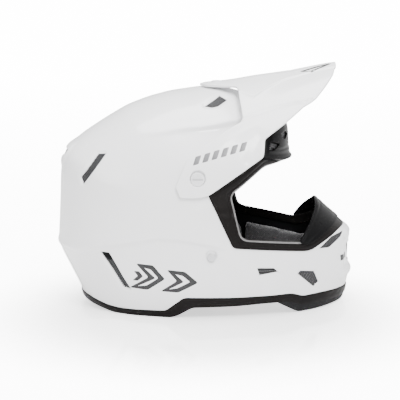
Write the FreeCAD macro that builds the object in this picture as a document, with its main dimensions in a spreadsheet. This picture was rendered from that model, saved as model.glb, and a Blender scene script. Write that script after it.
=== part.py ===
"""Off-road (motocross) helmet, modelled as the separate pieces it comes apart into.

Frame: millimetres, +Z up, +X towards the front of the helmet, +Y towards the wearer's left.
The origin is on the plane the helmet rests on, under the middle of its bounding box.

The sculpted pieces are shells cut from one family of closed skins. A skin is a stack of closed
curves, one at each distance Y from the middle plane; each curve is the middle-plane outline drawn
in towards the ear by a super-ellipse, so one number (the offset) moves the whole skin in or out
and neighbouring pieces nest inside each other. Screws, rivets, rings, plates and posts are
bodies whose sizes come from the table of dimensions.
"""
import FreeCAD
import Part
import Sketcher
import math
import os

Vector = FreeCAD.Vector
Rotation = FreeCAD.Rotation
Placement = FreeCAD.Placement
UP = Vector(0, 0, 1)
SIDES = (("left", 1), ("right", -1))

os.makedirs("parts", exist_ok=True)
for old in os.listdir("parts"):
    if old.endswith(".step"):
        os.remove(os.path.join("parts", old))

doc = FreeCAD.newDocument("helmet")

# --------------------------------------------------------------------------------------------
# Driving dimensions
# --------------------------------------------------------------------------------------------
DIMS = [
    # skins, edge trims and visor wall
    ("shell_half_width", 128.0), ("shell_wall", 3.5), ("ear_x", -15.0), ("ear_z", 128.0),
    ("trim_proud", 1.5), ("trim_depth", 6.0),
    ("visor_gap", 1.2), ("visor_wall", 3.0),
    # side visor screws and nuts, on the pivot axis
    ("pivot_x", -8.5), ("pivot_z", 164.5), ("pivot_seat_y", 127.6), ("boss_dia", 24.0),
    ("screw_head_dia", 15.8), ("screw_head_len", 2.6), ("screw_shank_dia", 5.9),
    ("screw_shank_len", 10.6), ("screw_slot_wide", 2.0), ("screw_slot_long", 12.0),
    ("screw_slot_deep", 1.3), ("screw_edge_round", 1.0),
    ("nut_face_y", 118.2), ("nut_bore_dia", 6.0), ("nut_flange_dia", 17.0),
    ("nut_flange_len", 1.6), ("nut_barrel_dia", 9.0), ("nut_barrel_len", 4.6),
    # top visor screw and nut
    ("top_screw_x", 14.0), ("top_head_dia", 13.0), ("top_head_len", 2.2),
    ("top_shank_dia", 4.9), ("top_shank_len", 14.0), ("top_nut_dia", 12.0),
    ("top_nut_len", 4.0), ("top_nut_z", 249.2), ("top_bore_dia", 5.0),
    ("visor_travel_deg", 8.0),
    # chin strap, its rivets, anchor plates and rings
    ("rivet_x", 7.6), ("rivet_z", 74.0), ("rivet_seat_y", 124.6), ("rivet_head_dia", 9.6),
    ("rivet_head_len", 1.8), ("rivet_shank_dia", 4.8), ("rivet_shank_len", 7.4),
    ("rivet_tail_dia", 8.0), ("rivet_tail_len", 1.2),
    ("strap_wide", 22.0),
    ("anchor_face_y", 118.6), ("anchor_thick", 1.2), ("anchor_wide", 16.0),
    ("anchor_tall", 20.0),
    ("ring_wire_dia", 3.6), ("ring_bar_half", 11.2), ("ring_corner", 2.6),
    ("ring_bar_z", 32.2), ("ring_outer_y", 105.1), ("ring_inner_y", 100.9),
    # cheek pad press studs
    ("post_dia", 14.0), ("snap_bore_dia", 5.6), ("snap_bore_len", 3.6), ("snap_nose_dia", 5.2),
    ("snap_nose_len", 3.0), ("snap_flange_dia", 11.0), ("snap_flange_len", 1.0),
    ("snap_tail_dia", 4.8), ("snap_tail_len", 1.8),
    # liner dampers, strap keeper and cheek pads
    ("damper_foot_dia", 14.0), ("damper_foot_len", 2.0), ("damper_neck_dia", 7.0),
    ("damper_neck_len", 4.6),
    ("keeper_dia", 9.0), ("keeper_cap_len", 1.5), ("keeper_core_len", 2.2),
    ("pad_inner_y", 60.0),
]
sheet = doc.addObject("Spreadsheet::Sheet", "Dims")
for row, (name, value) in enumerate(DIMS, start=1):
    sheet.set("A%d" % row, name)
    sheet.set("B%d" % row, str(value))
    sheet.setAlias("B%d" % row, name)
doc.recompute()
dims = {name: float(sheet.get(name)) for name, _ in DIMS}

half_width, wall = dims["shell_half_width"], dims["shell_wall"]
ear_x, ear_z = dims["ear_x"], dims["ear_z"]
pivot_x, pivot_z, pivot_seat = dims["pivot_x"], dims["pivot_z"], dims["pivot_seat_y"]
rivet_x, rivet_z, rivet_seat = dims["rivet_x"], dims["rivet_z"], dims["rivet_seat_y"]
top_x = dims["top_screw_x"]
pad_inner = dims["pad_inner_y"]

# --------------------------------------------------------------------------------------------
# Skins
# --------------------------------------------------------------------------------------------
STEPS = 720             # directions round the ear at which a skin is tabulated
OUTLINE_BLUR = 5        # smoothing widths, in steps
EXPONENT_BLUR = 14
CURVE_POINTS = 96       # points round each curve of a skin
CURVE_COUNT = 30        # spans between curves, ear to ear
EAR_FLAT = 0.9975       # the skin stops at this fraction of its half width

# Middle-plane outline of the shell (x, z): rear bottom corner first, over the crown to the
# chin, then closed below the helmet.
SHELL_OUTLINE = [
    (-145.6, 7.4), (-145.5, 11.5), (-162.1, 43.5), (-173.6, 66.3), (-175.2, 74.3),
    (-174.0, 94.1), (-172.4, 131.2), (-171.9, 152.2), (-170.5, 169.3), (-167.0, 182.2),
    (-144.9, 200.6), (-119.0, 217.7), (-93.0, 233.3), (-67.1, 243.2), (-41.3, 250.1),
    (-5.2, 255.4), (15.6, 255.5), (39.4, 250.7), (60.9, 241.1), (76.6, 228.5),
    (86.4, 214.1), (90.5, 198.5), (93.0, 179.2), (106.0, 152.5), (128.4, 123.4),
    (152.0, 101.4), (167.4, 92.3), (174.6, 86.1), (175.8, 74.5), (175.4, 57.3),
    (174.4, 40.1), (169.4, 16.5), (166.0, 4.3),
    (150, -60), (70, -100), (-40, -100), (-115, -50), (-143, -5),
]
# Middle-plane outline of the visor's top skin (x, z): the shell's up to the rear of the crown
# and again below the face; in front of the forehead it leaves the shell.
VISOR_OUTLINE = SHELL_OUTLINE[:13] + [
    (-67.1, 243.4), (-41.3, 250.4), (-5.2, 255.6), (16.0, 257.4), (36.0, 260.4), (62.0, 264.9),
    (98.0, 270.2), (112.0, 273.2), (149.0, 281.2), (176.0, 285.0), (186.0, 276.0),
    (180.0, 252.0), (158.0, 220.0), (128.0, 190.0), (106.0, 158.0)] + SHELL_OUTLINE[24:]
# Super-ellipse exponents (direction, exponent); the direction is in degrees round the ear,
# 0 forward and 90 up. RADIAL acts on the distance from the ear axis, ACROSS on the half width.
SHELL_RADIAL = [(0, 1.4), (30, 2.0), (60, 2.2), (90, 2.3), (150, 2.3), (180, 2.3), (225, 2.3),
                (270, 2.5), (315, 1.75), (345, 1.35)]
SHELL_ACROSS = [(0, 1.95), (30, 2.0), (60, 2.1), (90, 2.1), (150, 2.1), (180, 2.1), (225, 2.1),
                (270, 2.2), (315, 1.95), (345, 2.05)]
VISOR_RADIAL = [(0, 1.65), (25, 1.9), (38, 2.1), (50, 2.25), (65, 2.35), (90, 2.3), (150, 2.3),
                (180, 2.3), (225, 2.3), (270, 2.5), (315, 1.95), (345, 1.55)]
VISOR_ACROSS = [(0, 1.65), (25, 1.8), (38, 1.75), (50, 1.8), (65, 1.95), (90, 2.1), (150, 2.1),
                (180, 2.1), (225, 2.1), (270, 2.2), (315, 1.75), (345, 1.55)]


def blur(values, sigma):
    """Smooths a closed table with a Gaussian."""
    count, reach = len(values), int(3 * sigma)
    kernel = [math.exp(-0.5 * (i / sigma) ** 2) for i in range(-reach, reach + 1)]
    total = sum(kernel)
    return [sum(kernel[j + reach] * values[(i + j) % count]
                for j in range(-reach, reach + 1)) / total
            for i in range(count)]


def outline_radius(outline):
    """Distance from the ear axis to the farthest crossing of the outline, in each direction."""
    radii = []
    for i in range(STEPS):
        angle = 2 * math.pi * i / STEPS
        ray_x, ray_z, farthest = math.cos(angle), math.sin(angle), 0.0
        for (x0, z0), (x1, z1) in zip(outline, outline[1:] + outline[:1]):
            edge_x, edge_z = x1 - x0, z1 - z0
            det = -ray_x * edge_z + ray_z * edge_x
            if abs(det) < 1e-12:
                continue
            from_x, from_z = x0 - ear_x, z0 - ear_z
            along_ray = (-from_x * edge_z + from_z * edge_x) / det
            along_edge = (ray_x * from_z - ray_z * from_x) / det
            if along_ray > 0 and -1e-9 <= along_edge <= 1 + 1e-9:
                farthest = max(farthest, along_ray)
        radii.append(farthest)
    return radii


def by_angle(knots):
    """Straight-line table, one value to a direction, through (degrees, value) knots."""
    knots = sorted(knots)
    first, last = knots[0], knots[-1]
    knots = [(last[0] - 360, last[1])] + knots + [(first[0] + 360, first[1])]
    table = []
    for i in range(STEPS):
        angle = 360.0 * i / STEPS
        for (a0, v0), (a1, v1) in zip(knots, knots[1:]):
            if a0 <= angle <= a1:
                table.append(v0 + (v1 - v0) * (angle - a0) / (a1 - a0))
                break
    return table


def look_up(table, direction):
    """Value of a table at a direction in radians."""
    place_in = (direction / (2 * math.pi) * STEPS) % STEPS
    i = int(place_in)
    weight = place_in - i
    return table[i] * (1 - weight) + table[(i + 1) % STEPS] * weight


class Skin:
    def __init__(self, outline, radial, across):
        self.radius = blur(outline_radius(outline), OUTLINE_BLUR)
        self.radial = blur(by_angle(radial), EXPONENT_BLUR)
        self.across = blur(by_angle(across), EXPONENT_BLUR)
        self.solids = {}

    def reach(self, direction, y, offset):
        """Distance from the ear axis of the skin moved out by the offset."""
        share = min(1.0, abs(y) / (half_width + offset))
        fall = (1 - share ** look_up(self.across, direction)) ** (
            1 / look_up(self.radial, direction))
        return (look_up(self.radius, direction) + offset) * fall

    def y_at(self, x, z, offset):
        """Half width of the skin at (x, z)."""
        dx, dz = x - ear_x, z - ear_z
        direction = math.atan2(dz, dx) % (2 * math.pi)
        share = math.hypot(dx, dz) / (look_up(self.radius, direction) + offset)
        if share >= 1:
            return 0.0
        return (half_width + offset) * (1 - share ** look_up(self.radial, direction)) ** (
            1 / look_up(self.across, direction))

    def top_at(self, x, offset):
        """Height of the skin's middle line at x, near the crown."""
        low, high = math.radians(20), math.radians(160)
        for _ in range(60):
            middle = (low + high) / 2
            if ear_x + self.reach(middle, 0.0, offset) * math.cos(middle) > x:
                low = middle
            else:
                high = middle
        return ear_z + self.reach(low, 0.0, offset) * math.sin(low)

    def curve_points(self, y, offset):
        """Points of the closed curve at y, starting straight below the ear."""
        points = []
        for i in range(CURVE_POINTS):
            direction = (-math.pi / 2 + 2 * math.pi * i / CURVE_POINTS) % (2 * math.pi)
            r = self.reach(direction, y, offset)
            points.append(Vector(ear_x + r * math.cos(direction), y,
                                 ear_z + r * math.sin(direction)))
        return points

    def make_solid(self, offset):
        """The closed solid inside the skin, with a small flat at each ear."""
        last = math.asin(EAR_FLAT)
        rows = []
        for j in range(CURVE_COUNT + 1):
            y = (half_width + offset) * math.sin(-last + 2 * last * j / CURVE_COUNT)
            ring = Part.BSplineCurve()
            ring.interpolate(Points=self.curve_points(y, offset), PeriodicFlag=True,
                             Parameters=[float(i) for i in range(CURVE_POINTS + 1)])
            rows.append(ring.getPoles())
        net = []
        for i in range(len(rows[0])):
            line = Part.BSplineCurve()
            line.interpolate(Points=[row[i] for row in rows],
                             Parameters=[float(j) for j in range(CURVE_COUNT + 1)])
            net.append(line.getPoles())
        surface = Part.BSplineSurface()
        surface.buildFromPolesMultsKnots(
            net, ring.getMultiplicities(), line.getMultiplicities(),
            ring.getKnots(), line.getKnots(), True, False, 3, 3)
        side = surface.toShape()
        caps = [Part.Face(Part.Wire(e)) for e in side.Edges
                if e.isClosed() and e.BoundBox.YLength < 1e-6]
        shell = Part.Shell([side] + caps)
        shell.sewShape()
        solid = Part.Solid(shell)
        if solid.Volume < 0:
            solid.reverse()
        return solid

    def solid(self, offset):
        """A copy of the solid at the offset; each offset is built once."""
        if offset not in self.solids:
            self.solids[offset] = self.make_solid(offset)
        return self.solids[offset].copy()


shell_skin = Skin(SHELL_OUTLINE, SHELL_RADIAL, SHELL_ACROSS)
visor_skin = Skin(VISOR_OUTLINE, VISOR_RADIAL, VISOR_ACROSS)


def inside(offset):
    return shell_skin.solid(offset)


def layer(outer, inner, skin=shell_skin):
    """The wall between two offsets of a skin."""
    return skin.solid(outer).cut(skin.solid(inner))


# --------------------------------------------------------------------------------------------
# Cutting shapes
# --------------------------------------------------------------------------------------------
def extruded(points, direction):
    return Part.Face(Part.makePolygon(points + [points[0]])).extrude(direction)


def prism(outline, y0=-200.0, y1=200.0):
    """A side-view outline (x, z) pushed across the helmet."""
    return extruded([Vector(x, y0, z) for x, z in outline], Vector(0, y1 - y0, 0))


def plan_prism(outline, z0=-50.0, z1=400.0):
    """A plan-view outline (x, y) pushed up."""
    return extruded([Vector(x, y, z0) for x, y in outline], Vector(0, 0, z1 - z0))


def front_prism(outline, x0, x1):
    """A front-view outline (y, z) pushed forwards."""
    return extruded([Vector(x0, y, z) for y, z in outline], Vector(x1 - x0, 0, 0))


def box(x0, x1, y0, y1, z0, z1):
    return Part.makeBox(x1 - x0, y1 - y0, z1 - z0, Vector(x0, y0, z0))


def ellipsoid(semi_axes):
    """An ellipsoid about the head centre."""
    ball = Part.makeSphere(1.0)
    matrix = FreeCAD.Matrix()
    matrix.scale(*semi_axes)
    ball = ball.transformGeometry(matrix)
    ball.translate(Vector(HEAD_X, 0, HEAD_Z))
    return ball


def cylinder_y(x, y0, y1, z, radius):
    return Part.makeCylinder(radius, y1 - y0, Vector(x, y0, z), Vector(0, 1, 0))


def slot(x0, x1, z0, z1, radius):
    """A round-ended slot along X with a vertical wall."""
    ends = [Part.makeCylinder(radius, z1 - z0, Vector(x, 0, z0)) for x in (x0, x1)]
    return box(x0, x1, -radius, radius, z0, z1).fuse(ends)


def span(sign, near, far):
    """The Y range between two distances from the middle plane, on the side of the sign."""
    return (near, far) if sign > 0 else (-far, -near)


def side_box(sign, near, far):
    return box(-300, 300, *span(sign, near, far), -100, 400)


def inset(outline, distance):
    """The outline with every edge moved inwards."""
    area = sum(x0 * z1 - x1 * z0
               for (x0, z0), (x1, z1) in zip(outline, outline[1:] + outline[:1]))
    points = outline if area > 0 else list(reversed(outline))
    moved = []
    for i, (x, z) in enumerate(points):
        (xa, za), (xb, zb) = points[i - 1], points[(i + 1) % len(points)]
        before, after = math.hypot(x - xa, z - za), math.hypot(xb - x, zb - z)
        normal_a = (-(z - za) / before, (x - xa) / before)
        normal_b = (-(zb - z) / after, (xb - x) / after)
        # the floor keeps a very sharp corner from running away
        scale = distance / max(0.25, 1 + normal_a[0] * normal_b[0] + normal_a[1] * normal_b[1])
        moved.append((x + (normal_a[0] + normal_b[0]) * scale,
                      z + (normal_a[1] + normal_b[1]) * scale))
    return moved


nodes = []


def keep(name, shape):
    """Adds a sculpted piece to the document, without any slivers the booleans left."""
    solids = [s for s in shape.Solids if abs(s.Volume) > 1.0]
    piece = doc.addObject("Part::Feature", name)
    piece.Label = name
    piece.Shape = solids[0] if len(solids) == 1 else Part.makeCompound(solids)
    piece.Placement = Placement()
    nodes.append(piece)


# --------------------------------------------------------------------------------------------
# Outer shell
# --------------------------------------------------------------------------------------------
# Face opening in the shell (x, z), and the smaller opening inside its rubber edge.
EYE_OUT = [(4.3, 145.8), (32.7, 84.2), (122.0, 73.0), (157.0, 91.6), (230.0, 103.0),
           (230.0, 193.0), (80.0, 189.0), (67.7, 184.4)]
EYE_IN = [(29.0, 144.5), (42.0, 91.5), (112.0, 82.4), (124.0, 84.0), (152.0, 99.5),
          (230.0, 112.0), (230.0, 174.5), (70.0, 173.5), (60.9, 167.7)]
# Lower edge of the shell, rear to front (x, z).
SHELL_EDGE = [(-230, 15.8), (-137.0, 13.5), (-112.0, 7.5), (-100.0, 6.5), (-45.5, 7.5),
              (-24.2, 24.4), (40.4, 23.3), (63.6, 23.5), (101.0, 23.4), (114.5, 18.2),
              (135.0, 19.0), (230.0, 17.5)]
# Vent openings, side view (x, z).
VENTS = {
    "crown_vent": [(-0.4, 241.3), (17.5, 250.0), (25.2, 246.4), (15.6, 241.6), (8.4, 240.5)],
    "rear_upper_vent": [(-124.5, 186.4), (-116.5, 187.6), (-142.0, 152.6), (-144.3, 159.4)],
    "rear_lower_vent": [(-120.1, 72.1), (-113.9, 71.8), (-88.0, 32.8), (-94.1, 33.9)],
    "cheek_vent": [(161.8, 87.4), (161.6, 81.2), (147.5, 72.0), (135.3, 72.3), (150.3, 83.4)],
    "jaw_vent": [(112.4, 48.4), (128.7, 45.6), (134.1, 32.1), (129.0, 27.5), (109.9, 45.7)],
    "jaw_slot": [(61.6, 56.9), (80.1, 55.3), (84.9, 50.7), (64.2, 48.6)],
}
THROUGH_VENTS = ("crown_vent", "rear_upper_vent")   # the others leave the middle uncut
MIDDLE_LEFT = 20.0                                  # half width left uncut between them
# Openings cut from the front and from the rear (y, z), with the x range of each cut.
CHIN_FRONT = [(-25.0, 70.0), (25.0, 70.0), (18.0, 47.0), (-18.0, 47.0)]
CHIN_RANGE = (120, 230)
REAR_EXHAUST = [(-30.0, 184.0), (30.0, 184.0), (24.0, 171.0), (-24.0, 171.0)]
REAR_RANGE = (-230, -120)

# How far the top screw slides back as the visor turns about its pivots.
swing = math.radians(dims["visor_travel_deg"])
top_travel = ((shell_skin.top_at(top_x, 0.0) - pivot_z) * math.sin(swing)
              + (top_x - pivot_x) * (1 - math.cos(swing)))


def outer_shell():
    """One wall, cut for the face, the vents and the fixings."""
    cutters = []
    for vent, outline in VENTS.items():
        if vent in THROUGH_VENTS:
            cutters.append(prism(outline))
        else:
            cutters += [prism(outline, -200, -MIDDLE_LEFT), prism(outline, MIDDLE_LEFT, 200)]
    cutters.append(front_prism(CHIN_FRONT, *CHIN_RANGE))
    cutters.append(front_prism(REAR_EXHAUST, *REAR_RANGE))
    for sign in (-1, 1):
        through = span(sign, 100, 140)
        cutters.append(cylinder_y(pivot_x, *through, pivot_z, dims["nut_barrel_dia"] / 2 + 0.05))
        cutters.append(cylinder_y(rivet_x, *through, rivet_z,
                                  dims["rivet_shank_dia"] / 2 + 0.05))
        cutters.append(cylinder_y(rivet_x, *span(sign, rivet_seat, 140), rivet_z,
                                  dims["rivet_head_dia"] / 2 + 0.1))
    cutters.append(slot(top_x - top_travel, top_x, 235, 270, dims["top_shank_dia"] / 2 + 0.3))
    above_edge = prism(SHELL_EDGE + [(230.0, 330.0), (-230.0, 330.0)])
    shell = layer(0.0, -wall).common(above_edge)
    keep("outer_shell", shell.cut(Part.makeCompound(cutters)).cut(prism(EYE_OUT)))


# --------------------------------------------------------------------------------------------
# Trims, nose guard, brow vent and screens
# --------------------------------------------------------------------------------------------
EDGE_FIT = 0.08                             # gap round a piece set into an opening
BASE_FIT = 0.05                             # gap round the base trim
over_trim = dims["trim_proud"] + 0.1        # offset of pieces that lie over the trim

# Lower edge of the base trim, rear to front (x, z).
TRIM_EDGE = [(-230, 8.4), (-141.0, 7.5), (-106.0, 0.0), (-42.0, 0.0), (-33.0, 3.0),
             (-15.0, 13.6), (40.5, 14.4), (63.7, 15.5), (85.0, 16.0), (97.0, 15.4),
             (113.0, 9.0), (230.0, 8.6)]
# Side views (x, z).
NOSE = [(111.5, 84.0), (120.5, 80.5), (152.5, 99.0), (190.0, 103.5), (190.0, 126.0),
        (134.5, 126.0), (133.0, 115.5)]
STERNUM = [(84.5, 15.2), (109.0, 0.0), (130.0, 0.0), (158.0, 2.2), (172.0, 8.2),
           (113.2, 8.5), (97.3, 14.9)]
BROW = [(63.5, 167.5), (84.0, 168.5), (130.0, 172.5), (130.0, 216.0), (91.0, 216.0),
        (72.5, 203.5), (69.6, 186.0)]
BROW_HOLLOW = [(68.5, 172.0), (130.0, 176.0), (130.0, 213.0), (91.5, 213.0), (75.0, 201.5),
               (72.0, 185.0)]
BROW_SCREEN = [(71.8, 179.0), (130.0, 180.0), (130.0, 211.5), (92.0, 211.5), (76.2, 200.5)]
BROW_WINDOWS = ([(73.0, 184.0), (78.5, 196.0), (84.5, 194.5), (78.5, 182.0)],
                [(82.0, 198.5), (91.0, 207.0), (94.5, 203.5), (87.5, 194.0)])
WINDOW_FROM_Y = 15.0

SCREEN_OFFSETS = (-0.9, -2.0)       # outer and inner face
LOUVRE_OFFSETS = (-1.2, -3.2)
GRILLE_OFFSETS = (-0.9, -3.0)
GRILLE_PITCH, GRILLE_GAP = 4.6, 3.0
GRILLE_Z = (50.0, 67.0)


def eyeport_trim():
    """Rubber edge of the face opening."""
    trim = layer(dims["trim_proud"], -dims["trim_depth"])
    keep("eyeport_trim", trim.common(prism(inset(EYE_OUT, EDGE_FIT))).cut(prism(EYE_IN)))


def base_trim():
    """Rubber edge round the bottom of the shell."""
    outline = SHELL_EDGE + list(reversed(TRIM_EDGE))
    trim = layer(dims["trim_proud"], -dims["trim_depth"])
    keep("base_trim", trim.common(prism(inset(outline, BASE_FIT))))


def nose_guard():
    """Guard clipped over the trim."""
    keep("nose_guard", layer(5.0, over_trim).common(prism(NOSE)))


def chin_bar_bottom_pad():
    """Rubber pad under the chin bar."""
    keep("chin_bar_bottom_pad", layer(0.6, -12.0).common(prism(STERNUM)))


def brow_vent():
    """Hollow housing with two windows a side, and the screen behind them."""
    brow = layer(9.0, over_trim).common(prism(BROW))
    brow = brow.cut(layer(6.4, dims["trim_proud"] - 0.5).common(prism(BROW_HOLLOW)))
    for window in BROW_WINDOWS:
        brow = brow.cut(prism(window, -200, -WINDOW_FROM_Y))
        brow = brow.cut(prism(window, WINDOW_FROM_Y, 200))
    keep("brow_vent_housing", brow)
    keep("brow_vent_screen", layer(6.2, 5.2).common(prism(BROW_SCREEN)))


def vent_screens():
    """A screen or louvre in each side vent, just inside the shell's outer face."""
    for vent, outline in VENTS.items():
        if vent == "jaw_slot":
            kind, offsets = "_louvre_", LOUVRE_OFFSETS
        else:
            kind, offsets = "_screen_", SCREEN_OFFSETS
        both = layer(*offsets).common(prism(inset(outline, EDGE_FIT)))
        for side, sign in SIDES:
            keep(vent + kind + side, both.common(side_box(sign, 0.0, 300)))


def chin_vent_grille():
    grille = layer(*GRILLE_OFFSETS).common(
        front_prism(inset(CHIN_FRONT, EDGE_FIT), *CHIN_RANGE))
    for i in range(-4, 5):
        y = i * GRILLE_PITCH
        grille = grille.cut(box(*CHIN_RANGE, y - GRILLE_GAP / 2, y + GRILLE_GAP / 2, *GRILLE_Z))
    keep("chin_vent_grille", grille)


def rear_exhaust_screen():
    opening = front_prism(inset(REAR_EXHAUST, EDGE_FIT), *REAR_RANGE)
    keep("rear_exhaust_screen", layer(*SCREEN_OFFSETS).common(opening))


# --------------------------------------------------------------------------------------------
# Liners
# --------------------------------------------------------------------------------------------
HEAD_X, HEAD_Z = -38.0, 130.0           # head centre, on the middle plane
WALL_GAP = 0.2                          # between the shell wall and what is behind it
LINER_SPACE = 5.0                       # between outer and inner liner
COMFORT_GAP = 0.4                       # between inner and comfort liner

# Ellipsoids about the head centre: semi-axes along x, y, z.
OUTER_HOLLOW = (120, 108, 106)
INNER_OUTSIDE = tuple(a - LINER_SPACE for a in OUTER_HOLLOW)
INNER_HOLLOW = (103, 91, 90)
COMFORT_OUTSIDE = tuple(a - COMFORT_GAP for a in INNER_HOLLOW)
COMFORT_HOLLOW = (95, 80, 81)
AIR_HOLE_SURFACE = (110, 97, 95)        # the inner liner's holes are centred on this

# Directions from the head centre (azimuth from +X towards +Y, elevation), in degrees.
DAMPERS = [(0, 78), (0, 42), (180, 42), (60, 45), (-60, 45), (120, 45), (-120, 45),
           (90, 12), (-90, 12), (138, 12), (-138, 12), (180, 5),
           (155, -18), (-155, -18)]
INNER_HOLES = [(0, 62), (0, 30), (180, 55), (180, 20)]
INNER_HOLE_RADIUS, INNER_HOLE_LENGTH = 7.0, 30

# Side views (x, z).
OUTER_LINER = [(-185.0, 48.0), (-62.0, 48.0), (-50.0, 113.0), (-8.0, 117.0), (-8.0, 154.0),
               (20.0, 172.0), (60.0, 197.0), (230.0, 206.0), (230.0, 330.0), (-185.0, 330.0)]
INNER_LINER = [(-185.0, 56.0), (-72.0, 56.0), (-58.0, 119.0), (-14.0, 123.0), (-14.0, 158.0),
               (20.0, 181.0), (60.0, 205.0), (230.0, 214.0), (230.0, 330.0), (-185.0, 330.0)]
COMFORT = [(-185.0, 63.0), (-78.0, 63.0), (-64.0, 124.0), (-20.0, 128.0), (-20.0, 162.0),
           (20.0, 188.0), (60.0, 211.0), (230.0, 219.0), (230.0, 330.0), (-185.0, 330.0)]
CHIN = [(50.0, 29.0), (112.0, 29.0), (120.0, 26.0), (230.0, 26.0), (230.0, 88.0),
        (158.0, 82.0), (122.0, 64.0), (50.0, 73.0)]
NECK = [(-185.0, 18.0), (-132.0, 17.0), (-106.0, 11.0), (-56.0, 12.0), (-60.0, 40.0),
        (-185.0, 44.0)]


def on_ellipsoid(semi_axes, azimuth, elevation):
    """The point in that direction on an ellipsoid about the head centre, and its normal."""
    a, b, c = semi_axes
    azimuth, elevation = math.radians(azimuth), math.radians(elevation)
    ray = Vector(math.cos(elevation) * math.cos(azimuth),
                 math.cos(elevation) * math.sin(azimuth), math.sin(elevation))
    length = 1 / math.sqrt((ray.x / a) ** 2 + (ray.y / b) ** 2 + (ray.z / c) ** 2)
    p = Vector(ray.x * length, ray.y * length, ray.z * length)
    normal = Vector(p.x / a ** 2, p.y / b ** 2, p.z / c ** 2)
    normal.normalize()
    return Vector(HEAD_X + p.x, p.y, HEAD_Z + p.z), normal


def outer_liner():
    """Energy liner moulded to the shell, hollow for the suspended inner liner."""
    liner = inside(-wall - WALL_GAP).common(prism(OUTER_LINER)).cut(ellipsoid(OUTER_HOLLOW))
    for azimuth, elevation in DAMPERS:
        point, normal = on_ellipsoid(OUTER_HOLLOW, azimuth, elevation)
        liner = liner.cut(Part.makeCylinder(
            dims["damper_foot_dia"] / 2 + 0.3, dims["damper_foot_len"] + 3.9,
            point - normal * 3.0, normal))
    for sign in (-1, 1):
        liner = liner.cut(cylinder_y(pivot_x, *span(sign, 115, 140), pivot_z,
                                     dims["nut_flange_dia"] / 2 + 1.0))
    # room for the top nut to travel
    liner = liner.cut(slot(top_x - top_travel - 0.5, top_x + 0.5, 243.0, 270,
                           dims["top_nut_dia"] / 2 + 1.5))
    keep("outer_liner", liner)


def inner_liner():
    inner = ellipsoid(INNER_OUTSIDE).cut(ellipsoid(INNER_HOLLOW)).common(prism(INNER_LINER))
    for azimuth, elevation in INNER_HOLES:
        point, normal = on_ellipsoid(AIR_HOLE_SURFACE, azimuth, elevation)
        start = point - normal * (INNER_HOLE_LENGTH / 2)
        inner = inner.cut(
            Part.makeCylinder(INNER_HOLE_RADIUS, INNER_HOLE_LENGTH, start, normal))
    keep("inner_liner", inner)


def comfort_liner():
    comfort = ellipsoid(COMFORT_OUTSIDE).cut(ellipsoid(COMFORT_HOLLOW))
    keep("comfort_liner", comfort.common(prism(COMFORT)))


def chin_bar_liner():
    """Energy liner of the chin bar, with a mouth channel behind the front grille."""
    chin = layer(-wall - 0.3, -20.0).common(prism(CHIN))
    keep("chin_bar_liner", chin.cut(front_prism(CHIN_FRONT, 60, 230)))


def neck_roll():
    """Roll round the rear of the bottom opening."""
    keep("neck_roll", layer(-wall - 2.7, -17.0).common(prism(NECK)))


# --------------------------------------------------------------------------------------------
# Cheek pads and snap posts
# --------------------------------------------------------------------------------------------
PLATE_OUTER, PLATE_INNER = -16.0, -18.0     # skin offsets of the backing plate's faces
SNAP_GAP = 0.2                              # plate to foam, stud to plate and post to stud
PAD_ROUND = 7.0
TAB_Y = (78.0, 80.0)
# Side views (x, z).
PAD = [(-30.0, 38.0), (-40.0, 56.0), (-38.0, 104.0), (-6.0, 110.0), (18.0, 107.0),
       (27.0, 84.0), (46.0, 70.0), (46.0, 42.0), (36.0, 38.0)]
PLATE = [(-27.0, 44.0), (-36.0, 60.0), (-34.0, 98.0), (14.0, 100.0), (22.0, 80.0),
         (44.0, 66.0), (44.0, 47.0), (34.0, 43.5)]
TAB = [(34.0, 37.3), (34.0, 12.0), (46.0, 12.0), (46.0, 41.2), (36.0, 37.3)]
SNAPS = [(-28.0, 84.0), (-25.0, 56.0), (36.0, 57.5)]


def snap_flange_y(x, z):
    """Distance from the middle plane of a stud flange's outer face, clear of the plate."""
    radius = dims["snap_flange_dia"] / 2
    angles = [i * math.pi / 6 for i in range(12)]
    plate_y = max(shell_skin.y_at(x + radius * math.cos(a), z + radius * math.sin(a),
                                  PLATE_OUTER) for a in angles)
    return plate_y + SNAP_GAP + dims["snap_flange_len"]


snap_seats = [(x, snap_flange_y(x, z), z) for x, z in SNAPS]


def cheek_pads():
    """Foam block, backing plate and pull tab on each side."""
    foam_pair = inside(PLATE_INNER - SNAP_GAP).common(prism(PAD))
    plate_pair = layer(PLATE_OUTER, PLATE_INNER).common(prism(PLATE))
    plate_pair = plate_pair.cut([
        cylinder_y(x, -150, 150, z, dims["snap_tail_dia"] / 2 + 0.1) for x, z in SNAPS])
    for side, sign in SIDES:
        foam = foam_pair.common(side_box(sign, pad_inner, 200))
        face_edges = [e for e in foam.Edges
                      if all(abs(abs(v.Y) - pad_inner) < 0.01 for v in e.Vertexes)]
        keep("cheek_pad_" + side, foam.makeFillet(PAD_ROUND, face_edges))
        keep("cheek_pad_plate_" + side, plate_pair.common(side_box(sign, pad_inner, 200)))
        keep("pull_tab_" + side, prism(TAB, *span(sign, *TAB_Y)))


def cheek_snap_sockets():
    """Posts moulded to the shell wall behind the cheek pads, bored for the studs."""
    posts = []
    for x, flange_y, z in snap_seats:
        for sign in (1, -1):
            y = flange_y + SNAP_GAP
            post = cylinder_y(x, *span(sign, y, 140.0), z, dims["post_dia"] / 2)
            post = post.common(inside(-wall - WALL_GAP))
            bore = span(sign, y - 1, y + dims["snap_bore_len"])
            posts.append(post.cut(cylinder_y(x, *bore, z, dims["snap_bore_dia"] / 2)))
    keep("cheek_snap_sockets", Part.makeCompound(posts))


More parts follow.
